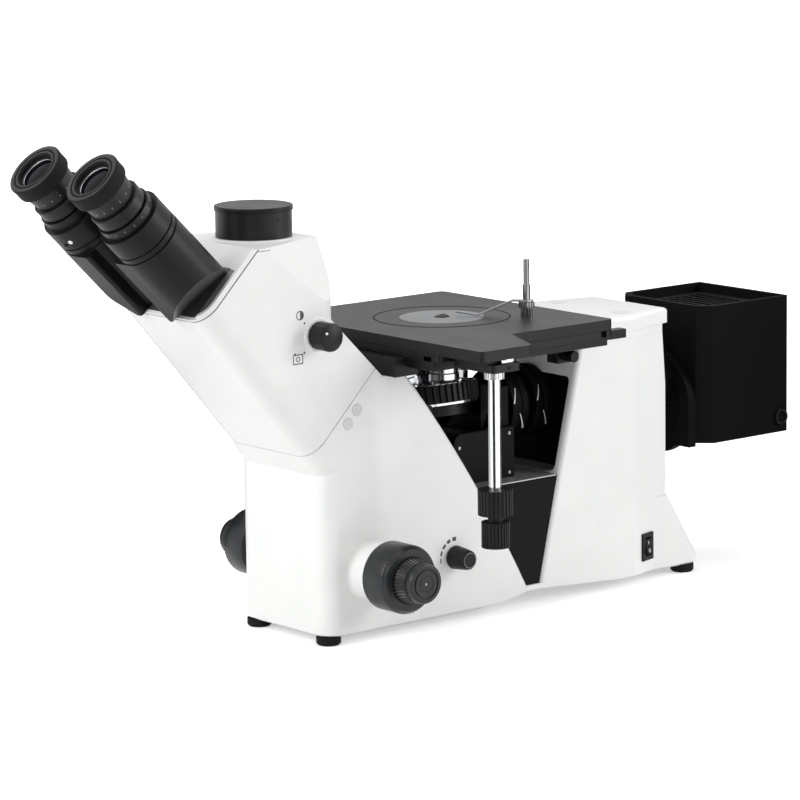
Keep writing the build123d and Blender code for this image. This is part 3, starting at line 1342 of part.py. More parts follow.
def lamp_grille():
    """Louvred top of the lamp house, set a little below its rim."""
    x = LAMP_HALF - LAMP_WALL
    y0 = LAMP_Y0 + LAMP_WALL
    y1 = LAMP_Y1 - LAMP_WALL
    high = LAMP_Z1 - GRILLE_RECESS
    solid = plan_prism(lamp_plan(LAMP_WALL), high - GRILLE_T, high)
    pitch = (y1 - y0 - 2 * GRILLE_RIM) / SLAT_COUNT
    for slot in range(SLAT_COUNT):
        y = y0 + GRILLE_RIM + (slot + 0.5) * pitch
        place = Pos(0, y, high - GRILLE_T / 2) * Rot(35, 0, 0)
        solid -= place * Box(2 * x - 2 * GRILLE_RIM, pitch - SLAT_W, 4 * GRILLE_T)
    return solid


def halogen_lamp():
    """Socket on the lamp house floor with its capsule lamp on the light axis."""
    y = (LAMP_Y0 + LAMP_Y1) / 2
    floor = LAMP_Z0 + LAMP_WALL
    solid = cyl((0, y, floor), UP, SOCKET_R, SOCKET_H)
    top = floor + SOCKET_H
    capsule = turned(
        Plane(origin=(0, y, top)),
        ((0, 0), (BULB_R, 0), (BULB_R, BULB_H - BULB_R), (BULB_R / 2, BULB_H), (0, BULB_H)),
    )
    return solid + capsule


def collector_lens():
    """Plano-convex collector lens at the end of the mount's spigot."""
    plane = Plane(origin=(0, PILLAR_REAR_Y - MOUNT_SPIGOT_L, LAMP_AXIS_Z), x_dir=ACROSS, z_dir=BACK)
    return plane * domed_disc(COLLECTOR_R, COLLECTOR_T / 2, COLLECTOR_T / 2)


def lamp_screw():
    """Round slotted screw that closes the lamp house's side."""
    x = LAMP_HALF - LAMP_SCREW_T / 2
    screw = cyl((x, LAMP_SCREW_Y, LAMP_SCREW_Z), ACROSS, LAMP_SCREW_R, LAMP_SCREW_T)
    slot = Pos(x + LAMP_SCREW_T, LAMP_SCREW_Y, LAMP_SCREW_Z) * Box(2, 2 * LAMP_SCREW_R, 1.6)
    return screw - slot


def all_nodes():
    """Every node by name."""
    right_coarse, left_coarse = at_sides(coarse_knob())
    right_fine, left_fine = at_sides(fine_knob())
    return {
        "stand_casting": stand_casting(),
        "base_covers": base_covers(),
        "feet": feet(),
        "lower_housing": lower_housing(),
        "pillar_cap": pillar_cap(),
        "cover_plugs": cover_plugs(),
        "cavity_panel": cavity_panel(),
        "head_housing": head_housing(),
        "front_bezel": front_bezel(),
        "tube_base": tube_base(),
        "port_collar": port_collar(),
        "port_lid": port_lid(),
        "beam_knob": beam_knob(),
        "housing_right": prism_housing(1),
        "housing_left": prism_housing(-1),
        "diopter_ring": diopter_ring(),
        "eyepiece_right": eyepiece(1),
        "eyepiece_left": eyepiece(-1),
        "eye_lens_right": eye_lens(1),
        "eye_lens_left": eye_lens(-1),
        "knob_collars": knob_collars(),
        "coarse_knob_right": right_coarse,
        "coarse_knob_left": left_coarse,
        "coarse_shaft": coarse_shaft(),
        "fine_knob_right": right_fine,
        "fine_knob_left": left_fine,
        "fine_shaft": fine_shaft(),
        "brightness_knob": brightness_knob(),
        "switch_bezel": switch_bezel(),
        "rocker": rocker(),
        "power_inlet": power_inlet(),
        "focus_guide": dovetail(0),
        "nose_carriage": nose_carriage(),
        "turret_plate": turret_plate(),
        "turret_ring": turret_ring(),
        "objectives": objectives(),
        "stage_base": stage_base(),
        "stage_rails": stage_rails(),
        "stage_lower": stage_lower(),
        "stage_upper": stage_upper(),
        "stage_insert": stage_insert(),
        "specimen_disc": specimen_disc(),
        "clip_post": clip_post(),
        "clip_collar": clip_collar(),
        "clip_arm": clip_arm(),
        "control_bracket": control_bracket(),
        "control_tube": control_tube(),
        "y_knob": y_knob(),
        "x_knob": x_knob(),
        "clamp_screw": clamp_screw(),
        "illuminator_block": illuminator_block(),
        "illuminator_tube": illuminator_tube(),
        "aperture_ring": diaphragm_ring(APERTURE_Y),
        "field_ring": diaphragm_ring(FIELD_Y),
        "lamp_mount": lamp_mount(),
        "lamp_shell": lamp_shell(),
        "lamp_grille": lamp_grille(),
        "halogen_lamp": halogen_lamp(),
        "collector_lens": collector_lens(),
        "lamp_screw": lamp_screw(),
    }


def solids_of(item):
    """The separate solids of a node."""
    pieces = item if isinstance(item, list) else [item]
    return [solid for piece in pieces for solid in piece.solids()]


NODES = {name: Compound(children=solids_of(item)) for name, item in all_nodes().items()}
BOX = Compound(children=[solid for item in NODES.values() for solid in item.solids()]).bounding_box()
ORIGIN = Vector((BOX.min.X + BOX.max.X) / 2, (BOX.min.Y + BOX.max.Y) / 2, BOX.min.Z)

os.makedirs("parts", exist_ok=True)
for name, item in NODES.items():
    solids = [Pos(-ORIGIN.X, -ORIGIN.Y, -ORIGIN.Z) * solid for solid in item.solids()]
    export_step(solids[0] if len(solids) == 1 else Compound(children=solids), f"parts/{name}.step")
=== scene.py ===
import logging
import math
from dataclasses import dataclass
from enum import Enum
from typing import Callable, Iterable, Optional, Sequence

import bmesh
import bpy
from mathutils import Matrix, Vector


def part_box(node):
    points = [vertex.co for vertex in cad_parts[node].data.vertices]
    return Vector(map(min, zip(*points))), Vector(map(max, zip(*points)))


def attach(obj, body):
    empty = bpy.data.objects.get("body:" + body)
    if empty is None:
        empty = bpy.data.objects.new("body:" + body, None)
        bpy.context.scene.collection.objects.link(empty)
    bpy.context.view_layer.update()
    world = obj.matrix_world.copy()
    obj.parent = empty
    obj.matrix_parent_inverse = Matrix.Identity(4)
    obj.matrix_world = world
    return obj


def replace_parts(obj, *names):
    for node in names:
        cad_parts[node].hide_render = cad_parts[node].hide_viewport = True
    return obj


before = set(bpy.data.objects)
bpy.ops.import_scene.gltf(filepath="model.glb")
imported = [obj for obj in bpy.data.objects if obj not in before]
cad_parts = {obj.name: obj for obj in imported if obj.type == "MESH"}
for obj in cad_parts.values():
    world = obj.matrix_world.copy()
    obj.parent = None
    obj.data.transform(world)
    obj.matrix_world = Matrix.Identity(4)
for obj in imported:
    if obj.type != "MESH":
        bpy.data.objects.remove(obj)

LOG = logging.getLogger("microscope")
BMesh = bmesh.types.BMesh
Socket = bpy.types.NodeSocket
Tree = bpy.types.NodeTree
Point = tuple[float, float]
Spot = tuple[float, float, float]
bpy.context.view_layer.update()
MM = 0.001
# Edges that turn by more than this stay sharp
SHARP = math.radians(32)
# Thickness of printed marks and of engraved ticks, in millimetres
MARK_T = 0.05
TICK_T = 0.06
# Size of the broad mottling in every finish, in millimetres
BROAD_MM = 28.0


def axis_centre() -> Vector:
    """Foot point of the objective's optical axis in the row frame.

    Returns:
        The centre of the stage insert, with its height set to the bench.
    """
    low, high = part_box("stage_insert")
    return Vector(((low.x + high.x) / 2, (low.y + high.y) / 2, 0.0))


CENTRE = axis_centre()


def place(x: float, y: float, z: float) -> Vector:
    """Point given in millimetres from the optical axis at bench level.

    Args:
        x: Millimetres to the operator's right.
        y: Millimetres towards the lamp house.
        z: Millimetres above the bench.

    Returns:
        The point in the row frame, in metres.
    """
    return CENTRE + Vector((x, y, z)) * MM


SLOPE_N = Vector((0.0, -1.0, 1.0)).normalized()
SLOPE_T = Vector((0.0, 1.0, 1.0)).normalized()
SEAM = (0.0, -151.5, 151.5)


def on_head(x: float, t: float, s: float) -> Vector:
    """Point in the viewing head's leaning frame.

    Args:
        x: Millimetres across.
        t: Millimetres up the slope.
        s: Millimetres out along the tubes, from the seam.

    Returns:
        The point in the row frame, in metres.
    """
    return place(*SEAM) + (Vector((x, 0.0, 0.0)) + SLOPE_T * t + SLOPE_N * s) * MM


def facing(origin: Vector, normal: Vector, up: Vector) -> Matrix:
    """Frame whose Z is a surface normal and whose Y is close to a given up direction.

    Args:
        origin: Origin of the frame, in metres.
        normal: Direction of local Z.
        up: Direction that local Y leans to.

    Returns:
        The matrix from the local frame, in metres, to the row frame.
    """
    z = normal.normalized()
    x = up.cross(z).normalized()
    y = z.cross(x)
    rows = Matrix((x, y, z)).transposed().to_4x4()
    rows.translation = origin
    return rows


UP = Vector((0.0, 0.0, 1.0))
RIGHT = Vector((1.0, 0.0, 0.0))
BACK = Vector((0.0, 1.0, 0.0))


@dataclass(frozen=True)
class Finish:
    """One surface finish; a few finishes also carry painted light or shade.

    Attributes:
        name: Material name.
        hex_colour: Main colour, sRGB.
        hex_second: Colour of the broad mottling, sRGB.
        rough: Middle roughness.
        metallic: Metalness.
        turned: Whether turning marks draw the grain out.
        grain_mm: Size of the fine grain in millimetres.
        bump: Strength of the grain.
        edge_mm: Radius of the softened edges in millimetres.
        coat: Weight of a clear coat.
        specular: Specular level.
        hex_edge_highlight: Colour of the painted highlight along edges, sRGB, or None.
    """

    name: str
    hex_colour: str
    hex_second: str
    rough: float
    metallic: float = 0.0
    turned: bool = False
    grain_mm: float = 0.8
    bump: float = 0.04
    edge_mm: float = 0.35
    coat: float = 0.0
    specular: float = 0.5
    hex_edge_highlight: Optional[str] = None


class Look(Enum):
    """Every finish on the instrument."""

    # Cast aluminium under two coats of off-white satin enamel
    ENAMEL = Finish(
        "enamel_white", "#F0F1EF", "#ECEEEC", 0.36, grain_mm=0.9, bump=0.03, edge_mm=0.6, coat=0.15
    )
    # White ABS moulding, a little flatter than the enamel
    WHITE_ABS = Finish("plastic_white", "#EEEFED", "#EAECEA", 0.42, grain_mm=0.5, bump=0.03)
    # Stoved black paint on cast tube housings
    BLACK_PAINT = Finish(
        "black_paint", "#0C0C0D", "#0A0A0B", 0.4, grain_mm=0.7, bump=0.05, edge_mm=0.5, specular=0.2
    )
    # Black wrinkle paint on folded sheet, rather flat, with a painted highlight along its edges; it also
    # gives the painted shade of the ring round the stage insert and of the specimen disc's hole
    BLACK_FLAT = Finish(
        "black_flat", "#080808", "#070707", 0.6, grain_mm=0.6, bump=0.12, edge_mm=0.7, specular=0.08,
        hex_edge_highlight="#2E2E2F",
    )
    # Grey-black powder coat of the housing between tower and pillar
    POWDER = Finish(
        "powder_black", "#121213", "#101011", 0.6, grain_mm=0.5, bump=0.1, edge_mm=0.4, specular=0.1
    )
    # Moulded black ABS of knobs and covers
    BLACK_ABS = Finish(
        "black_plastic", "#121315", "#0F1011", 0.45, grain_mm=0.35, bump=0.08, specular=0.26
    )
    # Grey for dark faces, painted light: a painted reflection of the white head on the slanted faces of the
    # tube housings and on their base, and lighter front-facing faces on the mirror's post
    PAINTED_LIGHT_FACET = Finish("facet_painted_light", "#484A4A", "#424444", 0.36, grain_mm=0.5, bump=0.05)
    # Blue-black mouldings: grips of the focus knobs and faces of the eyecups
    KNOB = Finish("knob_grey", "#1A1D20", "#16191B", 0.33, grain_mm=0.35, bump=0.05, specular=0.38)
    # Grey sheet under the viewing tubes: painted shade, grey for a white floor in the shadow of the
    # housings
    SHADED_SHEET = Finish("sheet_painted_shade", "#7E8080", "#767878", 0.5, grain_mm=0.6, bump=0.08)
    # Mid grey for the tops of the housing between tower and pillar and for the sheet on the pillar pocket's
    # floor: painted sheen and shade
    DECK_SHEEN_SHADE = Finish("deck_painted_sheen_shade", "#7A7C7B", "#727473", 0.4, grain_mm=0.7, bump=0.05)
    # Black anodised and turned aluminium, with a painted highlight along its edges
    ANODISED = Finish(
        "black_anodised", "#101011", "#131314", 0.4, metallic=0.3, turned=True, grain_mm=0.25, bump=0.05,
        specular=0.35, hex_edge_highlight="#333335",
    )
    # Matt dark grey coated stage plate, with a painted highlight along its edges
    STAGE = Finish(
        "stage_grey", "#151516", "#131314", 0.42, grain_mm=0.4, bump=0.05, edge_mm=0.5, specular=0.24,
        hex_edge_highlight="#3A3B3D",
    )
    # Lighter anodised specimen disc
    DISC = Finish(
        "disc_grey", "#7A7C7E", "#747678", 0.45, metallic=0.2, turned=True, grain_mm=0.3, bump=0.05
    )
    # Grey moulded plugs
    PLUG = Finish("plug_grey", "#DCDDDC", "#D6D8D7", 0.5, grain_mm=0.4, bump=0.05)
    # Bright nickel and chrome plate
    CHROME = Finish(
        "chrome", "#D6D7D9", "#CFD1D4", 0.14, metallic=1.0, turned=True, grain_mm=0.2, bump=0.03
    )
    # Polished darker steel of the specimen clip
    CLIP = Finish(
        "clip_steel", "#8E8F91", "#858688", 0.12, metallic=1.0, turned=True, grain_mm=0.2, bump=0.03
    )
    # Ground steel of shafts, small screws and the clip's arm
    STEEL = Finish(
        "steel", "#A9AAAC", "#9FA1A4", 0.28, metallic=1.0, turned=True, grain_mm=0.25, bump=0.04
    )
    # Black rubber of feet and eyecups; it also gives painted shade: the dark sheet in the gap behind the
    # bezel and the black marks for two holes
    RUBBER = Finish("rubber", "#121212", "#161616", 0.78, grain_mm=0.6, bump=0.15, specular=0.18)
    # Coated lenses, dark from outside
    LENS = Finish("lens", "#06070A", "#090A10", 0.05, bump=0.0, specular=0.1, edge_mm=0.0)
    # White filling of engraved marks
    MARK_WHITE = Finish("mark_white", "#E8E8E6", "#DEDEDC", 0.6, grain_mm=0.3, bump=0.05, edge_mm=0.05)
    # Worn filling of the fine scales on the eyepieces; it also gives the pale ring of painted highlight on
    # the brightness knob's end
    MARK_FAINT = Finish("mark_faint", "#8E8F8D", "#848583", 0.6, grain_mm=0.3, bump=0.05, edge_mm=0.05)
    # Dark grey print on the enamel
    MARK_GREY = Finish("mark_grey", "#4A4B4D", "#454648", 0.6, grain_mm=0.3, bump=0.05, edge_mm=0.05)


def linear(hex_colour: str) -> tuple[float, float, float, float]:
    """Linear colour of an sRGB hex code.

    Args:
        hex_colour: Code such as "#F0F1EF".

    Returns:
        Red, green, blue and alpha.
    """
    values = [int(hex_colour[i : i + 2], 16) / 255 for i in (1, 3, 5)]
    bent = [v / 12.92 if v <= 0.04045 else ((v + 0.055) / 1.055) ** 2.4 for v in values]
    return (bent[0], bent[1], bent[2], 1.0)


class Palette:
    """Makes each material once, from its finish."""

    def __init__(self) -> None:
        """Start with no material made."""
        self.made: dict[str, bpy.types.Material] = {}

    def get(self, look: Look) -> bpy.types.Material:
        """The material of a finish.

        Args:
            look: The finish.

        Returns:
            Its material, made on first use.
        """
        finish = look.value
        if finish.name not in self.made:
            self.made[finish.name] = self.build(finish)
        return self.made[finish.name]

    @staticmethod
    def node(tree: Tree, kind: str, *sources: Socket, mode: str = "", **inputs: object) -> bpy.types.Node:
        """Add a node and fill or link its inputs.

        Args:
            tree: Node tree to add to.
            kind: Node type without the ShaderNode prefix.
            *sources: Output sockets that feed the first inputs, in order.
            mode: Operation of a node that calculates.
            **inputs: Socket names, with _ for blanks, and values or output sockets.

        Returns:
            The new node.
        """
        made = tree.nodes.new("ShaderNode" + kind)
        if mode:
            made.operation = mode
        for source, socket in zip(sources, made.inputs):
            tree.links.new(source, socket)
        for key, value in inputs.items():
            socket = made.inputs[key.replace("_", " ")]
            if isinstance(value, Socket):
                tree.links.new(value, socket)
            else:
                socket.default_value = value
        return made

    def build(self, finish: Finish) -> bpy.types.Material:
        """Build the node tree of one finish.

        Args:
            finish: The finish.

        Returns:
            The finished material.
        """
        material = bpy.data.materials.new(finish.name)
        material.use_nodes = True
        tree = material.node_tree
        shader = tree.nodes["Principled BSDF"]
        shader.inputs["Metallic"].default_value = finish.metallic
        shader.inputs["Coat Weight"].default_value = finish.coat
        shader.inputs["Coat Roughness"].default_value = 0.12
        shader.inputs["Specular IOR Level"].default_value = finish.specular
        where = self.node(tree, "TexCoord").outputs["Object"]
        scale = 1 / (BROAD_MM * MM)
        broad = self.node(tree, "TexNoise", Vector=where, Scale=scale, Detail=3.0, Roughness=0.55)
        scale = 1 / (finish.grain_mm * MM)
        fine = self.node(tree, "TexNoise", Vector=where, Scale=scale, Detail=2.0, Roughness=0.5)
        if finish.turned:
            fine.inputs["Distortion"].default_value = 0.6
        colour = self.node(tree, "ValToRGB", Fac=broad.outputs["Fac"])
        stops = ((0.35, finish.hex_colour), (0.68, finish.hex_second))
        for element, (position, code) in zip(colour.color_ramp.elements, stops):
            element.position = position
            element.color = linear(code)
        base = colour.outputs["Color"]
        normal = None
        if finish.edge_mm > 0:
            soft = self.node(tree, "Bevel", Radius=finish.edge_mm * MM)
            soft.samples = 4
            normal = soft.outputs["Normal"]
            # Edges lighter in colour: painted highlight
            if finish.hex_edge_highlight:
                base = self.paint_edge_highlight(tree, base, normal, finish.hex_edge_highlight)
        tree.links.new(base, shader.inputs["Base Color"])
        low, high = finish.rough - 0.04, finish.rough + 0.05
        spread = self.node(tree, "MapRange", Value=broad.outputs["Fac"], To_Min=low, To_Max=high)
        tree.links.new(spread.outputs["Result"], shader.inputs["Roughness"])
        if finish.bump > 0:
            height = fine.outputs["Fac"]
            bump = self.node(tree, "Bump", Strength=finish.bump, Distance=0.1 * MM, Height=height)
            if normal is not None:
                tree.links.new(normal, bump.inputs["Normal"])
            normal = bump.outputs["Normal"]
        if normal is not None:
            tree.links.new(normal, shader.inputs["Normal"])
        return material

    def paint_edge_highlight(self, tree: Tree, base: Socket, soft: Socket, hex_edge_highlight: str) -> Socket:
        """Lighten the colour along edges: a painted highlight where the edges catch the light.

        Args:
            tree: Node tree to add to.
            base: Colour before the painted edge highlight.
            soft: Normal of the softened edges.
            hex_edge_highlight: Colour of the painted highlight on an edge.

        Returns:
            The colour socket with painted highlights along the edges.
        """
        flat = self.node(tree, "NewGeometry").outputs["Normal"]
        same = self.node(tree, "VectorMath", flat, soft, mode="DOT_PRODUCT")
        # Mask of the edges that get the painted highlight
        edge_highlight_mask = self.node(
            tree, "MapRange", Value=same.outputs["Value"],
            From_Min=0.99, From_Max=0.8, To_Min=0.0, To_Max=0.7,
        )
        mix = tree.nodes.new("ShaderNodeMix")
        mix.data_type = "RGBA"
        tree.links.new(edge_highlight_mask.outputs["Result"], mix.inputs["Factor"])
        tree.links.new(base, mix.inputs[6])
        mix.inputs[7].default_value = linear(hex_edge_highlight)
        return mix.outputs[2]


PALETTE = Palette()


def as_object(name: str, bm: BMesh, material: bpy.types.Material) -> bpy.types.Object:
    """Turn a bmesh into an object of the scene.

    Args:
        name: Object name.
        bm: Geometry in the row frame, freed here.
        material: Its material.

    Returns:
        The new object.
    """
    mesh = bpy.data.meshes.new(name)
    bm.to_mesh(mesh)
    bm.free()
    mesh.materials.append(material)
    made = bpy.data.objects.new(name, mesh)
    bpy.context.scene.collection.objects.link(made)
    return made


def piece(name: str, bm: BMesh, look: Look, body: str) -> bpy.types.Object:
    """Turn a bmesh into a piece that rides on a body.

    Args:
        name: Piece name.
        bm: Geometry in the row frame, freed here.
        look: Its finish.
        body: Body that it moves with.

    Returns:
        The new object.
    """
    bmesh.ops.remove_doubles(bm, verts=bm.verts, dist=1e-7)
    bmesh.ops.recalc_face_normals(bm, faces=bm.faces)
    for face in bm.faces:
        face.smooth = True
    for edge in bm.edges:
        edge.smooth = len(edge.link_faces) == 2 and edge.calc_face_angle(0.0) < SHARP
    made = as_object(name, bm, PALETTE.get(look))
    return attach(made, body)


def lathe(bm: BMesh, profile: Sequence[Point], where: Matrix, steps: int = 64) -> None:
    """Spin a closed profile about the local Z axis.

    Args:
        bm: Mesh to add to.
        profile: Radius and height pairs in millimetres, in order.
        where: Frame of the axis.
        steps: Segments of the full turn.
    """
    verts = [bm.verts.new((r * MM, 0.0, z * MM)) for r, z in profile]
    edges = [bm.edges.new((a, b)) for a, b in zip(verts, verts[1:] + verts[:1])]
    bmesh.ops.spin(
        bm, geom=verts + edges, cent=(0, 0, 0), axis=(0, 0, 1),
        angle=2 * math.pi, steps=steps, use_merge=True,
    )
    touched = {v for v in verts if v.is_valid}
    grow = list(touched)
    while grow:
        vert = grow.pop()
        for edge in vert.link_edges:
            other = edge.other_vert(vert)
            if other not in touched:
                touched.add(other)
                grow.append(other)
    bmesh.ops.transform(bm, matrix=where, verts=list(touched))


def slab(bm: BMesh, outline: Iterable[Point], depth: float, where: Matrix, round_mm: float = 0.0) -> None:
    """Flat piece of an outline, raised along local Z, with its top edges rounded.

    Args:
        bm: Mesh to add to.
        outline: Corner points in millimetres.
        depth: Thickness in millimetres.
        where: Frame of the outline.
        round_mm: Radius of the top edges.
    """
    verts = [bm.verts.new((x * MM, y * MM, 0.0)) for x, y in outline]
    base = bm.faces.new(verts)
    raised = bmesh.ops.extrude_face_region(bm, geom=[base])
    top = [v for v in raised["geom"] if isinstance(v, bmesh.types.BMVert)]
    bmesh.ops.translate(bm, verts=top, vec=(0.0, 0.0, depth * MM))
    bmesh.ops.transform(bm, matrix=where, verts=verts + top)
    if round_mm > 0:
        near = dict.fromkeys(edge for v in top for edge in v.link_edges)
        rim = [edge for edge in near if all(v in top for v in edge.verts)]
        bmesh.ops.bevel(
            bm, geom=rim, offset=round_mm * MM, offset_type="OFFSET", segments=2,
            profile=0.5, affect="EDGES", material=-1,
        )


def arc_band(inner: float, outer: float, start: float, end: float, steps: int = 8) -> list[Point]:
    """Outline of a piece of a flat ring.

    Args:
        inner: Inner radius in millimetres.
        outer: Outer radius in millimetres.
        start: First angle in degrees.
        end: Last angle in degrees.
        steps: Steps along the arc.

    Returns:
        The outline's points.
    """
    turn = [math.radians(start + (end - start) * i / steps) for i in range(steps + 1)]
    out = [(outer * math.cos(a), outer * math.sin(a)) for a in turn]
    back = [(inner * math.cos(a), inner * math.sin(a)) for a in reversed(turn)]
    return out + back


def disc(radius: float, steps: int = 24) -> list[Point]:
    """Outline of a round mark.

    Args:
        radius: Radius in millimetres.
        steps: Corners of the outline.

    Returns:
        The outline's points.
    """
    turns = [2 * math.pi * i / steps for i in range(steps)]
    return [(radius * math.cos(a), radius * math.sin(a)) for a in turns]


def rect(width: float, height: float, x: float = 0.0, y: float = 0.0) -> list[Point]:
    """Outline of a rectangle.

    Args:
        width: Size along local X in millimetres.
        height: Size along local Y in millimetres.
        x: Middle along local X.
        y: Middle along local Y.

    Returns:
        The four corners.
    """
    w = width / 2
    h = height / 2
    return [(x - w, y - h), (x + w, y - h), (x + w, y + h), (x - w, y + h)]


def wrapped_tick(
    bm: BMesh, where: Matrix, radius: float, angle: float, low: float, high: float, width: float
) -> None:
    """Engraved tick on the outside of a round piece.

    Args:
        bm: Mesh to add to.
        where: Frame of the round piece's axis.
        radius: Radius of the surface in millimetres.
        angle: Place round the axis in degrees.
        low: Lower end along the axis.
        high: Upper end along the axis.
        width: Width in millimetres.
    """
    turn = Matrix.Rotation(math.radians(angle), 4, "Z")
    stand = Matrix(((0, 0, 1, radius * MM), (1, 0, 0, 0), (0, 1, 0, (low + high) / 2 * MM), (0, 0, 0, 1)))
    slab(bm, rect(width, high - low), TICK_T, where @ turn @ stand)


def wrapped_wedge(
    bm: BMesh, where: Matrix, radius: float, turn: Point, middle: Point, widths: Point
) -> None:
    """Tapering line that runs round a turned piece.

    Args:
        bm: Mesh to add to.
        where: Frame of the turned piece's axis.
        radius: Radius of the surface in millimetres.
        turn: First and last angle in degrees.
        middle: Place of the line along the axis at the first and at the last angle.
        widths: Width at the first and at the last angle.
    """
    steps = 10
    rows = []
    for i in range(steps + 1):
        share = i / steps
        angle = math.radians(turn[0] + (turn[1] - turn[0]) * share)
        half = (widths[0] + (widths[1] - widths[0]) * share) / 2
        along = middle[0] + (middle[1] - middle[0]) * share
        spot = Vector((math.cos(angle), math.sin(angle), 0.0)) * (radius + MARK_T) * MM
        low = bm.verts.new(where @ (spot + Vector((0.0, 0.0, (along - half) * MM))))
        high = bm.verts.new(where @ (spot + Vector((0.0, 0.0, (along + half) * MM))))
        rows.append((low, high))
    for (a, b), (c, d) in zip(rows, rows[1:]):
        bm.faces.new((a, c, d, b))


def tongue(half: float, low: float, high: float, corner: float) -> list[Point]:
    """Outline that is square at its upper end and round at its lower corners.

    Args:
        half: Half width in millimetres.
        low: Lower end along local Y.
        high: Upper end along local Y.
        corner: Radius of the lower corners.

    Returns:
        The outline's points.
    """
    turns = [math.radians(90 * i / 8) for i in range(9)]
    arc = [(half - corner + corner * math.sin(a), low + corner - corner * math.cos(a)) for a in turns]
    return arc + [(half, high), (-half, high)] + [(-x, y) for x, y in reversed(arc)]


def fluted(bm: BMesh, where: Matrix, stations: Sequence[Point], count: int, depth: float) -> None:
    """Closed plug with flutes round the local Z axis.

    Args:
        bm: Mesh to add to.
        where: Frame of the axis.
        stations: Radius and height pairs in millimetres, from the low end to the high end.
        count: Number of ribs.
        depth: Depth of the flutes in millimetres.
    """
    total = 4 * count
    rows: list[list[bmesh.types.BMVert]] = []
    for radius, height in stations:
        row = []
        for index in range(total):
            reach = (radius - depth * (index % 4 > 1)) * MM
            angle = 2 * math.pi * index / total
            spot = Vector((reach * math.cos(angle), reach * math.sin(angle), height * MM))
            row.append(bm.verts.new(where @ spot))
        rows.append(row)
    for low, high in zip(rows, rows[1:]):
        for index in range(total):
            after = (index + 1) % total
            bm.faces.new((low[index], low[after], high[after], high[index]))
    bm.faces.new(list(reversed(rows[0])))
    bm.faces.new(rows[-1])


def screw_head(bm: BMesh, where: Matrix, radius: float, height: float) -> None:
    """Socket screw head: chamfered, with a hexagon hole.

    Args:
        bm: Mesh to add to.
        where: Frame with Z out of the surface.
        radius: Head radius in millimetres.
        height: Head height in millimetres.
    """
    hole = radius * 0.48
    rim = [(hole, height * 0.25), (hole, height), (radius * 0.86, height), (radius, height * 0.8)]
    foot = [(radius, -0.2), (0.02, -0.2), (0.02, height * 0.25)]
    lathe(bm, rim + foot, where, 24)


@dataclass
class Stand:
    """White stand: brightness knob, the marks beside it, and painted highlights: a pale ring on the knob's
    end and a white strip along the deck's edge.

    Attributes:
        half: Half width of the stand in millimetres.
        light: Brightness knob's place in Y and Z.
        scale: Middle radius of the dashes round that knob.
    """

    half: float = 52.0
    light: Point = (-33.6, 49.4)
    scale: float = 13.6

    def dress(self) -> None:
        """Make the brightness knob, the dashes beside it, and the painted highlights on the knob's end and
        along the deck's edge.
        """
        side = facing(place(self.half, *self.light), RIGHT, UP)
        dashes = bmesh.new()
        for number in range(5):
            width = 1.0 + 0.5 * number
            start = 192 - 23 * number
            inner = self.scale - width / 2
            outer = self.scale + width / 2
            slab(dashes, arc_band(inner, outer, start, start - 15, 5), MARK_T, side)
        piece("brightness_scale", dashes, Look.MARK_GREY, "frame")
        knob = bmesh.new()
        skirt = [(0.02, 0.4), (8.5, 0.4), (8.7, 0.8), (8.6, 2.0), (8.1, 8.0)]
        cone = [(7.4, 14.0), (7.0, 15.8), (6.3, 16.7)]
        end = [(5.6, 17.0), (5.2, 16.9), (5.0, 16.5), (0.02, 16.5)]
        lathe(knob, skirt + cone + end, side, 64)
        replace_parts(piece("brightness_grip", knob, Look.BLACK_ABS, "brightness"), "brightness_knob")
        # Pale ring on the knob's end: painted highlight
        rim = bmesh.new()
        lathe(rim, [(5.25, 16.95), (5.5, 17.05), (5.7, 17.0), (5.5, 16.8)], side, 48)
        piece("brightness_rim_highlight", rim, Look.MARK_FAINT, "brightness")
        # White strip along the deck's top edge: painted highlight
        low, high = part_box("lower_housing")
        edge = bmesh.new()
        corner = Vector((high.x, (low.y + high.y) / 2, high.z))
        slab(edge, rect((high.y - low.y) / MM - 2.0, 0.7, 0.0, -0.35), 0.1, facing(corner, RIGHT, UP), 0.05)
        piece("deck_edge_highlight", edge, Look.ENAMEL, "frame")


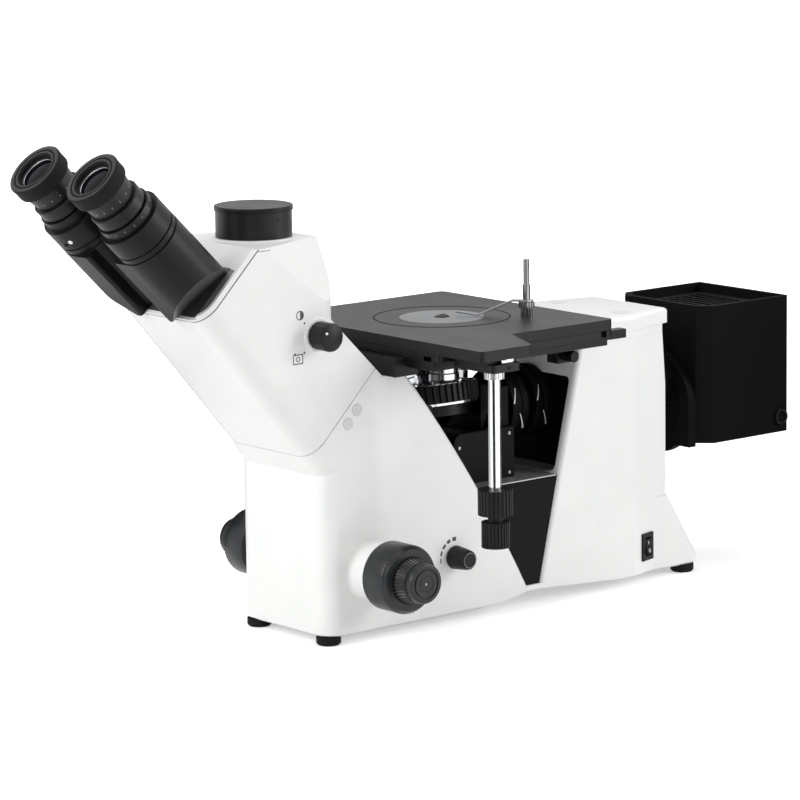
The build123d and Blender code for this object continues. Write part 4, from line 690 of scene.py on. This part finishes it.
@dataclass
class Head:
    """Viewing head: signs of the beam knob, a grey plate under the tubes and a dark sheet behind the bezel,
    both painted shade, seams and the port's set screw.

    Attributes:
        half: Half width of the head in millimetres.
        knob: Beam knob's place in Y and Z.
        knob_face: Height of the knob's dome along X, where its index dot sits.
        plate: Half width, lower end, upper end and start along the tubes of the plate.
        port: Port collar's radius, and the place of its set screw in Y and Z.
    """

    half: float = 52.0
    knob: Point = (-157.5, 227.5)
    knob_face: float = 71.1
    plate: tuple[float, float, float, float] = (49.2, -4.2, 39.4, 141.3)
    port: Spot = (27.25, -171.2, 309.1)

    def side(self, y: float, z: float) -> Matrix:
        """Frame on the head's right side.

        Args:
            y: Millimetres towards the lamp house.
            z: Millimetres above the bench.

        Returns:
            Frame with Z out of the side and Y up.
        """
        return facing(place(self.half, y, z), RIGHT, UP)

    def dress(self) -> None:
        """Make the signs and the knob's index, the plate, the seams and the set screw."""
        signs = bmesh.new()
        eye = self.side(-172.9, 243.1)
        slab(signs, arc_band(2.7, 3.4, 0, 359.9, 32), MARK_T, eye)
        slab(signs, arc_band(0.01, 2.75, -90, 90, 16), MARK_T, eye)
        camera = self.side(-175.4, 212.2)
        for y in (3.2, -3.2):
            slab(signs, rect(9.0, 0.7, 0, y), MARK_T, camera)
        for x in (-4.15, 4.15):
            slab(signs, rect(0.7, 5.8, x), MARK_T, camera)
        slab(signs, arc_band(1.3, 1.9, 0, 359.9, 24), MARK_T, camera)
        slab(signs, rect(1.6, 0.9, -2.6, 4.0), MARK_T, camera)
        for y, z in ((-169.1, 237.2), (-169.6, 216.4)):
            slab(signs, disc(0.8), MARK_T, self.side(y, z))
        piece("beam_signs", signs, Look.MARK_GREY, "frame")
        index = bmesh.new()
        aside, above = 6.8, 3.9
        lift = RIGHT + (UP * above - BACK * aside) * 0.047
        spot = place(self.knob_face, self.knob[0] - aside, self.knob[1] + above)
        slab(index, disc(1.0), 0.1, facing(spot, lift, UP))
        piece("beam_index", index, Look.MARK_WHITE, "beam_selector")
        self.base_plate()
        seams = bmesh.new()
        for out in (RIGHT, -RIGHT):
            where = facing(place(self.half * out.x, -203.5, 291.7), out, UP)
            slab(seams, rect(11.0, 0.4), MARK_T, where)
        piece("head_seams", seams, Look.MARK_GREY, "frame")
        screw = bmesh.new()
        screw_head(screw, facing(place(*self.port), RIGHT, UP), 1.5, 0.3)
        piece("port_screw", screw, Look.ANODISED, "frame")

    def base_plate(self) -> None:
        """Make the grey plate on the bezel's floor under the tubes, painted shade on that floor, and the
        dark sheet behind the bezel, painted shade in the gap there.
        """
        half, low, high, start = self.plate
        # Grey plate: painted shade on the white floor under the tubes
        sheet = bmesh.new()
        slab(sheet, tongue(half, low, high, 13.0), 0.9, facing(on_head(0, 0, start), SLOPE_N, SLOPE_T), 0.2)
        piece("tube_plate", sheet, Look.SHADED_SHEET, "frame")
        # Dark sheet behind the bezel: painted shade in the gap between head and bezel
        gap_shade = bmesh.new()
        slab(gap_shade, tongue(51.7, -6.7, 60.2, 15.7), 0.7, facing(on_head(0, 0, 139.95), SLOPE_N, SLOPE_T))
        piece("bezel_gap_shade", gap_shade, Look.RUBBER, "frame")


@dataclass
class Binocular:
    """Eyepieces and tubes: rubber eyecups, lens rings, scales and the set screw.

    Attributes:
        eye_x: Distance of each eyepiece axis from the middle.
        eye_t: Place of the axes up the slope.
        neck: Start of the dioptre ring along the tubes.
        flange: Start of the eyepiece flange along the tubes.
        tube: Radius of the left tube where its set screw sits.
    """

    eye_x: float = 33.9
    eye_t: float = 12.9
    neck: float = 229.6
    flange: float = 237.5
    tube: float = 23.75

    def axis(self, side: int, s: float) -> Matrix:
        """Frame on one eyepiece axis.

        Args:
            side: 1 for the operator's right, -1 for the left.
            s: Distance out from the seam in millimetres.

        Returns:
            Frame with Z along the tube.
        """
        return facing(on_head(side * self.eye_x, self.eye_t, s), SLOPE_N, SLOPE_T)

    def eyecup(self, side: int, body: str) -> None:
        """Rubber eyecup with grooves in its face, rings round the lens, and the barrel's scale and edge.

        Args:
            side: 1 for the operator's right, -1 for the left.
            body: Body of the eyepiece.
        """
        where = self.axis(side, self.flange)
        name = "right" if side > 0 else "left"
        cup = bmesh.new()
        outside = [(20.85, 24.1), (21.0, 24.6), (21.0, 32.4), (21.3, 33.0), (21.3, 33.9)]
        lip = [(20.8, 34.6), (20.0, 34.75), (17.4, 34.5), (16.9, 34.1), (16.4, 34.1), (16.1, 34.5)]
        mouth = [(14.9, 34.5), (14.2, 34.1), (13.7, 33.4)]
        inside = [(13.45, 32.6), (13.45, 31.3), (14.2, 31.3), (14.6, 33.6), (20.3, 33.6), (20.5, 24.1)]
        lathe(cup, outside + lip + mouth + inside, where, 96)
        piece("eyecup_" + name, cup, Look.RUBBER, body)
        band = bmesh.new()
        lathe(band, [(20.5, 34.72), (20.2, 34.86), (17.9, 34.72), (17.6, 34.5), (19.0, 34.4)], where, 96)
        lathe(band, [(16.15, 34.5), (15.9, 34.62), (15.0, 34.62), (14.7, 34.4), (15.5, 34.3)], where, 96)
        piece("eyecup_face_" + name, band, Look.KNOB, body)
        ring = bmesh.new()
        wall = [(13.55, 29.5), (13.55, 31.2), (13.2, 31.2)]
        thread = [(12.9, 30.8), (13.1, 30.6), (12.75, 30.3), (12.95, 30.1), (12.5, 29.7), (12.5, 29.5)]
        lathe(ring, wall + thread, where, 80)
        piece("lens_ring_" + name, ring, Look.ANODISED, body)
        line = bmesh.new()
        lathe(line, [(12.3, 29.75), (12.45, 29.95), (12.7, 30.2), (12.8, 29.9), (12.5, 29.6)], where, 80)
        lathe(line, [(12.95, 30.75), (13.05, 30.95), (13.2, 31.0), (13.2, 30.6)], where, 80)
        piece("lens_thread_" + name, line, Look.STEEL, body)
        scale = bmesh.new()
        for number in range(16):
            angle = 22.5 * number + (11 if side > 0 else 3)
            wrapped_tick(scale, where, 17.55, angle, 14.9, 17.1, 0.5)
            if number % 2:
                wrapped_tick(scale, where, 17.95, angle, 19.0, 19.9, 0.9)
        piece("eyepiece_scale_" + name, scale, Look.MARK_FAINT, body)
        flange = bmesh.new()
        lathe(flange, [(18.5, 9.6), (19.25, 8.85), (19.4, 8.95), (18.65, 9.75)], where, 80)
        piece("flange_edge_" + name, flange, Look.ANODISED, body)

    def dress(self) -> None:
        """Make both eyepieces' details, the dioptre scale and the left tube's set screw, with a black mark
        of painted shade for its hole.
        """
        self.eyecup(1, "ocular_right")
        self.eyecup(-1, "ocular_left")
        where = self.axis(1, self.neck)
        scale = bmesh.new()
        for number in range(16):
            wrapped_tick(scale, where, 20.8, 22.0 * number - 156, 3.4, 5.4, 0.4)
        piece("dioptre_scale", scale, Look.MARK_FAINT, "dioptre")
        self.set_screw(-64.5, 220.6, 1.7, Look.CHROME, "tube_screw")
        # Black head-shaped mark for the hole beside the set screw: painted shade
        self.set_screw(-79.0, 218.5, 1.5, Look.RUBBER, "tube_screw_hole_shade")

    def set_screw(self, angle: float, s: float, radius: float, look: Look, name: str) -> None:
        """Small screw head on the left tube's ring.

        Args:
            angle: Place round the tube in degrees, from across towards up the slope.
            s: Distance out from the seam in millimetres.
            radius: Head radius in millimetres.
            look: Its finish.
            name: Piece name.
        """
        turn = math.radians(angle)
        out = RIGHT * math.cos(turn) + SLOPE_T * math.sin(turn)
        spot = on_head(-self.eye_x, self.eye_t, s) + out * self.tube * MM
        head = bmesh.new()
        screw_head(head, facing(spot, out, SLOPE_N), radius, 0.5)
        piece(name, head, look, "tube_left")


@dataclass
class Focus:
    """Focus knobs: grips and ringed ends of the fine knobs, skins of the coarse knobs, and white collars.

    Attributes:
        axis: Focus axis in Y and Z.
        fine: End face of the fine knobs along X.
        coarse: Start of the coarse knobs along X.
        body: Side of the stand along X.
    """

    axis: Point = (-111.1, 50.8)
    fine: float = 111.9
    coarse: float = 70.6
    body: float = 52.0

    def outward(self, side: int, x: float) -> Matrix:
        """Frame on the focus axis with Z away from the stand.

        Args:
            side: 1 for the operator's right, -1 for the left.
            x: Distance from the middle in millimetres.

        Returns:
            The frame.
        """
        return facing(place(side * x, *self.axis), RIGHT * side, UP)

    def dress(self) -> None:
        """Make both sides of the focus drive, and the collars that carry them."""
        outside = [(14.2, -6.6), (14.45, -6.1), (14.45, -1.0), (13.9, 0.1), (13.2, 0.4)]
        groove = [(11.1, 0.4), (10.9, -0.4), (10.0, -0.4), (9.8, 0.5), (6.6, 0.5), (6.2, 0.1)]
        middle = [(5.4, 0.1), (5.1, 0.5), (1.7, 0.5), (1.3, 0.1)]
        inside = [(0.02, 0.1), (0.02, -0.4), (9.0, -0.7), (13.4, -0.8), (13.8, -6.6)]
        ribs = [(16.9, -15.6), (17.4, -15.1), (14.9, -7.0), (14.3, -6.5)]
        skin = [(24.4, 0.3), (24.75, 0.3), (24.95, 0.8), (24.95, 20.6), (24.6, 21.4)]
        face = [(23.1, 24.4), (22.3, 25.2), (16.4, 25.4), (15.9, 25.1)]
        under = [(16.2, 24.6), (21.8, 24.4), (24.2, 20.4)]
        foot = [(8.6, -0.2), (23.4, -0.2), (23.2, 0.3), (22.4, 0.9), (22.1, 1.8), (22.0, 3.2)]
        front = [(22.0, 16.0), (21.6, 17.2), (20.4, 18.0), (8.6, 18.0)]
        collars = bmesh.new()
        for side, name in ((-1, "left"), (1, "right")):
            where = self.outward(side, self.fine)
            screw = bmesh.new()
            screw_head(screw, where, 1.0, 0.5)
            piece("fine_screw_" + name, screw, Look.STEEL, "fine_drive")
            cover = bmesh.new()
            lathe(cover, outside + groove + middle + inside, where, 72)
            piece("fine_cover_" + name, cover, Look.KNOB, "fine_drive")
            grip = bmesh.new()
            fluted(grip, where, ribs, 40, 0.8)
            piece("fine_grip_" + name, grip, Look.KNOB, "fine_drive")
            grip = bmesh.new()
            lathe(grip, skin + face + under, self.outward(side, self.coarse), 96)
            piece("coarse_grip_" + name, grip, Look.KNOB, "coarse_drive")
            lathe(collars, foot + front, self.outward(side, self.body), 96)
        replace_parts(piece("focus_collars", collars, Look.ENAMEL, "frame"), "knob_collars")


@dataclass
class Stage:
    """Mechanical stage: bracket's bright strip, a black disc for the hole in the bracket and a black ring
    round the insert, both painted shade.

    Attributes:
        top: Height of the stage's surface.
        strip: Place of the bright strip at the tongue's end.
        hole: Place of the hole in the control bracket's side.
    """

    top: float = 217.6
    strip: Spot = (135.0, -56.5, 207.7)
    hole: Spot = (141.0, -57.0, 203.1)

    def dress(self) -> None:
        """Make the strip, the hole's black disc and the black ring round the insert; disc and ring are
        painted shade.
        """
        strip = bmesh.new()
        slab(strip, rect(11.0, 3.0), 4.5, facing(place(*self.strip), RIGHT, UP), 0.4)
        piece("bracket_strip", strip, Look.CHROME, "stage_y")
        # Black disc in place of the hole: painted shade
        hole = bmesh.new()
        slab(hole, disc(1.6), MARK_T, facing(place(*self.hole), RIGHT, UP))
        piece("bracket_hole_shade", hole, Look.RUBBER, "stage_y")
        low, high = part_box("stage_insert")
        radius = (high.x - low.x) / 2 / MM
        # Black ring at the insert's raised edge: painted shade of its step
        gap = bmesh.new()
        profile = [(radius - 0.5, -0.1), (radius - 0.4, 0.25), (radius + 0.2, 0.25), (radius + 0.3, -0.1)]
        lathe(gap, profile, facing(place(0, 0, self.top), UP, BACK), 128)
        piece("insert_step_shade", gap, Look.BLACK_FLAT, "stage_x")


@dataclass
class Nosepiece:
    """Turret: bright rims and the objectives' front lenses.

    Attributes:
        shoulder: Height of the working objective's shoulder.
        lean: Tilt of the turret in degrees.
        circle: Radius of the objectives' circle.
        lengths: Lengths of the objectives from their shoulders.
    """

    shoulder: float = 168.0
    lean: float = 10.0
    circle: float = 22.0
    lengths: tuple[float, ...] = (30.0, 27.0, 29.0, 30.0, 24.0)

    def dress(self) -> None:
        """Make the rims above and below the ribbed ring, and a lens in each objective."""
        lean = math.radians(self.lean)
        axis = Vector((-math.sin(lean), 0.0, math.cos(lean)))
        out = Vector((math.cos(lean), 0.0, math.sin(lean)))
        centre = place(0, 0, self.shoulder) - out * self.circle * MM
        where = facing(centre, axis, out)
        rims = bmesh.new()
        lathe(rims, [(36.0, -0.9), (39.2, -0.9), (39.5, -0.5), (38.7, 0.2), (36.0, 0.2)], where, 96)
        lathe(rims, [(34.0, -14.1), (39.3, -14.1), (39.5, -14.4), (39.3, -16.1), (34.0, -16.1)], where, 96)
        piece("turret_rims", rims, Look.CHROME, "turret")
        lenses = bmesh.new()
        glass = [(3.6, -0.5), (2.0, -0.35), (0.02, -0.3), (0.02, -0.75), (4.2, -0.75)]
        for number, length in enumerate(self.lengths):
            turn = 2 * math.pi * number / len(self.lengths)
            spoke = out * math.cos(turn) + BACK * math.sin(turn)
            along = axis * math.cos(lean) + spoke * math.sin(lean)
            front = centre + spoke * self.circle * MM + along * length * MM
            lathe(lenses, glass, facing(front, along, BACK), 32)
        piece("front_lenses", lenses, Look.LENS, "turret")


@dataclass
class Illuminator:
    """Illuminator: diaphragm scales, block's screws, light shield, a grey sheet of painted shade on the
    pocket's floor, and lamp screw's rim.

    Attributes:
        height: Height of the light axis.
        ring: Radius of the diaphragm rings.
        starts: Starts of the two rings along Y.
        half: Half width of the mirror block.
    """

    height: float = 146.0
    ring: float = 27.0
    starts: Point = (46.0, 69.0)
    half: float = 34.0

    def dress(self) -> None:
        """Make the rings' tapering lines, the screws, the shield, the pocket floor's grey sheet of painted
        shade, and the rim.
        """
        for start, body in zip(self.starts, ("aperture", "field")):
            where = facing(place(0, start, self.height), BACK, UP)
            lines = bmesh.new()
            wrapped_wedge(lines, where, self.ring, (147, 172), (5.2, 1.0), (0.6, 1.2))
            wrapped_wedge(lines, where, self.ring, (189, 218), (6.6, 13.6), (0.6, 1.5))
            piece(body + "_scale", lines, Look.MARK_WHITE, body)
        screws = bmesh.new()
        for y, z in ((-13.0, 124.9), (35.5, 130.2), (35.4, 100.4)):
            screw_head(screws, facing(place(self.half, y, z), RIGHT, UP), 1.25, 0.4)
        piece("block_screws", screws, Look.STEEL, "frame")
        shield = bmesh.new()
        turns = [math.pi / 16 * i for i in range(9)]
        top = [(29.75 - 6 + 6 * math.cos(a), 1.25 + 6 * math.sin(a)) for a in turns]
        outline = [(-29.75, -7.25), (29.75, -7.25)] + top + [(-x, z) for x, z in reversed(top)]
        slab(shield, outline, 4.0, facing(place(-21.75, 40.5, 131.75), -BACK, UP), 0.6)
        slab(shield, rect(13.5, 13.8), 2.0, facing(place(-43.0, 32.75, 131.1), RIGHT, UP), 0.4)
        piece("light_shield", shield, Look.POWDER, "frame")
        # Grey sheet on the pocket's floor: painted shade
        floor_shade = bmesh.new()
        slab(floor_shade, rect(80.0, 21.0), 0.3, facing(place(-6.0, 79.4, 97.0), UP, BACK))
        piece("pocket_floor_shade", floor_shade, Look.DECK_SHEEN_SHADE, "frame")
        rim = bmesh.new()
        ring = [(4.4, -0.2), (4.6, 0.2), (5.0, 0.5), (5.7, 0.5), (6.1, 0.0), (6.1, -0.4), (4.4, -0.4)]
        lathe(rim, ring, facing(place(52.4, 301.0, 111.5), RIGHT, UP), 48)
        piece("lamp_screw_rim", rim, Look.ANODISED, "frame")


@dataclass
class Switch:
    """Rocker switch: line and circle on its two halves.

    Attributes:
        spot: Middle of the switch on the pillar's narrowing side.
        out: Outward direction of that side.
    """

    spot: Spot = (47.31, 161.5, 28.0)
    out: Spot = (0.964, 0.2659, 0.0)

    def dress(self) -> None:
        """Make both marks on the rocker."""
        out = Vector(self.out).normalized()
        marks = bmesh.new()
        upper = place(*self.spot) + (UP * 3.0 + out * 1.83) * MM
        slab(marks, rect(0.7, 2.6), TICK_T, facing(upper, out + UP * 0.08, UP))
        lower = place(*self.spot) + (UP * -3.0 + out * 2.79) * MM
        slab(marks, arc_band(0.95, 1.45, 0, 359.9, 24), TICK_T, facing(lower, out + UP * 0.24, UP))
        piece("rocker_marks", marks, Look.MARK_WHITE, "power_switch")


class Studio:
    """Pale floor, soft lights and the camera at the photograph's place."""

    AZIMUTH = 50.68
    ELEVATION = 10.07
    ROLL = -0.8
    DISTANCE = 2.9512
    TARGET = (0.0, -40.9, 160.1)
    LENS = 180.85
    # World's strength for diffuse light, and the floor's glow near the feet
    DIM = 0.5
    GLOW = 0.42
    # Distances in metres over which the floor's glow grows to white
    FADE = (0.45, 1.3)
    # Dark cards: name, first and last angle; then their middle, distance and height
    FLAGS = (("flag_front", 13.0, 59.0), ("flag_back", 157.0, 291.0))
    FLAG_MIDDLE = (125.0, -57.0, 0.0)
    FLAG_REACH = 0.42
    FLAG_HEIGHT = 0.24
    FLAG_STEPS = 24
    # Soft boxes: name, place and edge in metres, watts, and the point they aim at
    LIGHTS = (
        ("key", (-0.2, -2.4, 1.5), 1.5, 39.0),
        ("top", (-0.2, 0.3, 2.4), 2.0, 16.0),
        ("side", (1.2, 1.15, 0.75), 0.8, 12.5),
    )
    AIM = (0.0, 0.0, 0.15)

    def camera(self) -> None:
        """Put the camera where the photograph was taken from."""
        a = math.radians(self.AZIMUTH)
        e = math.radians(self.ELEVATION)
        target = place(*self.TARGET)
        away = Vector((math.sin(a) * math.cos(e), -math.cos(a) * math.cos(e), math.sin(e)))
        data = bpy.data.cameras.new("camera")
        data.sensor_width = 36.0
        data.lens = self.LENS
        data.clip_end = 50.0
        eye = bpy.data.objects.new("camera", data)
        bpy.context.scene.collection.objects.link(eye)
        turn = (-away).to_track_quat("-Z", "Y").to_matrix().to_4x4()
        roll = Matrix.Rotation(math.radians(self.ROLL), 4, "Z")
        eye.matrix_world = Matrix.Translation(target + away * self.DISTANCE) @ turn @ roll
        bpy.context.scene.camera = eye

    def area(self, name: str, spot: Vector, size: float, power: float) -> None:
        """Add one soft box that points at the instrument.

        Args:
            name: Light name.
            spot: Place in metres.
            size: Edge length in metres.
            power: Watts.
        """
        data = bpy.data.lights.new(name, "AREA")
        data.shape = "SQUARE"
        data.size = size
        data.energy = power
        lamp = bpy.data.objects.new(name, data)
        bpy.context.scene.collection.objects.link(lamp)
        aim = Vector(self.AIM) - spot
        lamp.matrix_world = Matrix.Translation(spot) @ aim.to_track_quat("-Z", "Y").to_matrix().to_4x4()

    @staticmethod
    def seen(tree: Tree) -> Socket:
        """Factor that is one for rays from the camera, from reflections and through glass.

        Args:
            tree: Node tree to add to.

        Returns:
            The factor's socket.
        """
        path = Palette.node(tree, "LightPath")
        value = path.outputs["Is Camera Ray"]
        for kind in ("Is Glossy Ray", "Is Transmission Ray"):
            value = Palette.node(tree, "Math", value, path.outputs[kind], mode="MAXIMUM").outputs[0]
        return value

    def world(self) -> None:
        """White backdrop where it is seen, softer light for everything else."""
        world = bpy.data.worlds.new("studio")
        bpy.context.scene.world = world
        world.use_nodes = True
        tree = world.node_tree
        tree.nodes.clear()
        dim = Palette.node(tree, "Background", Color=(1.0, 1.0, 1.0, 1.0), Strength=self.DIM)
        white = Palette.node(tree, "Background", Color=(1.0, 1.0, 1.0, 1.0), Strength=1.0)
        mix = Palette.node(tree, "MixShader", self.seen(tree), dim.outputs[0], white.outputs[0])
        Palette.node(tree, "OutputWorld", Surface=mix.outputs[0])

    def floor(self) -> None:
        """White floor that keeps the shadow near the feet and fades into the backdrop."""
        material = bpy.data.materials.new("floor")
        material.use_nodes = True
        tree = material.node_tree
        tree.nodes.remove(tree.nodes["Principled BSDF"])
        where = Palette.node(tree, "TexCoord").outputs["Object"]
        far = Palette.node(tree, "VectorMath", where, mode="LENGTH")
        near, wide = self.FADE
        glow = Palette.node(
            tree, "MapRange", Value=far.outputs["Value"],
            From_Min=near, From_Max=wide, To_Min=self.GLOW, To_Max=1.0,
        )
        strength = Palette.node(tree, "Math", glow.outputs["Result"], self.seen(tree), mode="MULTIPLY")
        plain = Palette.node(tree, "BsdfDiffuse", Color=linear("#F2F2F2"))
        light = Palette.node(tree, "Emission", Strength=strength.outputs[0])
        both = Palette.node(tree, "AddShader", plain.outputs[0], light.outputs[0])
        tree.links.new(both.outputs[0], tree.nodes["Material Output"].inputs["Surface"])
        bm = bmesh.new()
        bmesh.ops.create_grid(bm, x_segments=1, y_segments=1, size=6.0)
        made = as_object("floor", bm, material)

    def flags(self) -> None:
        """Low dark cards that only reflections see: they give the bright rod its dark streaks."""
        material = bpy.data.materials.new("flag")
        material.use_nodes = True
        shader = material.node_tree.nodes["Principled BSDF"]
        shader.inputs["Base Color"].default_value = linear("#101010")
        shader.inputs["Specular IOR Level"].default_value = 0.0
        for name, start, end in self.FLAGS:
            bm = bmesh.new()
            rows = []
            for i in range(self.FLAG_STEPS + 1):
                turn = math.radians(start + (end - start) * i / self.FLAG_STEPS)
                away = Vector((math.sin(turn), -math.cos(turn), 0.0))
                foot = place(*self.FLAG_MIDDLE) + away * self.FLAG_REACH
                rows.append((bm.verts.new(foot), bm.verts.new(foot + UP * self.FLAG_HEIGHT)))
            for (a, b), (c, d) in zip(rows, rows[1:]):
                bm.faces.new((a, c, d, b))
            made = as_object(name, bm, material)
            made.visible_camera = False
            made.visible_diffuse = False
            made.visible_shadow = False
            made.visible_transmission = False

    def build(self) -> None:
        """Make the whole studio."""
        bpy.context.scene.view_settings.view_transform = "Standard"
        self.camera()
        self.world()
        self.floor()
        self.flags()
        for name, spot, size, power in self.LIGHTS:
            self.area(name, Vector(spot), size, power)


NODE_LOOKS: dict[Look, str] = {
    Look.ENAMEL: "stand_casting pillar_cap head_housing knob_collars base_covers",
    Look.WHITE_ABS: "front_bezel",
    Look.BLACK_PAINT: "housing_right housing_left nose_carriage port_lid",
    # The tubes' base takes the grey of painted reflected light
    Look.PAINTED_LIGHT_FACET: "tube_base",
    Look.POWDER: "lower_housing illuminator_block",
    Look.BLACK_FLAT: "cavity_panel lamp_shell lamp_mount lamp_screw illuminator_tube aperture_ring "
    "field_ring",
    Look.KNOB: "coarse_knob_right coarse_knob_left fine_knob_right fine_knob_left",
    Look.BLACK_ABS: "beam_knob brightness_knob lamp_grille switch_bezel rocker power_inlet y_knob x_knob",
    Look.ANODISED: "stage_lower stage_base control_bracket port_collar diopter_ring eyepiece_right "
    "eyepiece_left turret_ring stage_rails clamp_screw",
    Look.STAGE: "stage_upper stage_insert",
    Look.DISC: "specimen_disc",
    Look.PLUG: "cover_plugs",
    Look.CHROME: "turret_plate objectives control_tube halogen_lamp",
    Look.CLIP: "clip_post clip_collar",
    Look.STEEL: "clip_arm coarse_shaft fine_shaft focus_guide",
    Look.RUBBER: "feet",
    Look.LENS: "eye_lens_right eye_lens_left collector_lens",
}
# Outward direction of the right tube housing's slanted face
FACET_NORMAL = (0.64, 0.325, -0.693)
# Reach of the specimen disc's hole from its middle, in metres; the hole's walls are painted black as
# painted shade
HOLE_SHADE_REACH = 8.0 * MM
# Height above which the illuminator block is the mirror's post, in metres
POST_START = 0.14
# Least part of a normal along the axis that its face looks to
LEVEL = 0.9


def second_look(name: str, look: Look, chosen: Callable[[bpy.types.MeshPolygon], bool]) -> None:
    """Give some faces of a node a second finish.

    Args:
        name: Node name.
        look: The second finish.
        chosen: Says which faces get it.
    """
    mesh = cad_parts[name].data
    mesh.materials.append(PALETTE.get(look))
    for face in mesh.polygons:
        face.material_index = int(chosen(face))


def paint_nodes() -> None:
    """Give every carried-over node its finish, and some of them a second one."""
    for look, names in NODE_LOOKS.items():
        for name in names.split():
            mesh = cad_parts[name].data
            mesh.materials.clear()
            mesh.materials.append(PALETTE.get(look))
    spots = [vert.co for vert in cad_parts["specimen_disc"].data.vertices]
    middle = Vector([(min(c[i] for c in spots) + max(c[i] for c in spots)) / 2 for i in range(3)])
    # Upward faces of the housing are grey: painted sheen and shade on its top
    second_look("lower_housing", Look.DECK_SHEEN_SHADE, lambda face: face.normal.z > LEVEL)
    # The disc's hole walls are black: painted shade inside the hole
    second_look(
        "specimen_disc",
        Look.BLACK_FLAT,
        lambda face: (face.center - middle).xy.length < HOLE_SHADE_REACH and abs(face.normal.z) < 0.5,
    )
    # The post's front-facing faces are painted lighter grey: painted light
    second_look(
        "illuminator_block",
        Look.PAINTED_LIGHT_FACET,
        lambda face: face.normal.y < -LEVEL and face.center.z > POST_START,
    )
    # The housings' slanted faces are grey: painted reflection of the white head
    across, back, up = FACET_NORMAL
    for name, side in (("housing_right", 1), ("housing_left", -1)):
        slant = Vector((across * side, back, up))
        second_look(name, Look.PAINTED_LIGHT_FACET, lambda face, slant=slant: face.normal.dot(slant) > 0.995)


def main() -> None:
    logging.basicConfig(level=logging.INFO)
    paint_nodes()
    for group in (Stand, Head, Binocular, Focus, Stage, Nosepiece, Illuminator, Switch):
        group().dress()
    Studio().build()


if __name__ == "__main__":
    main()
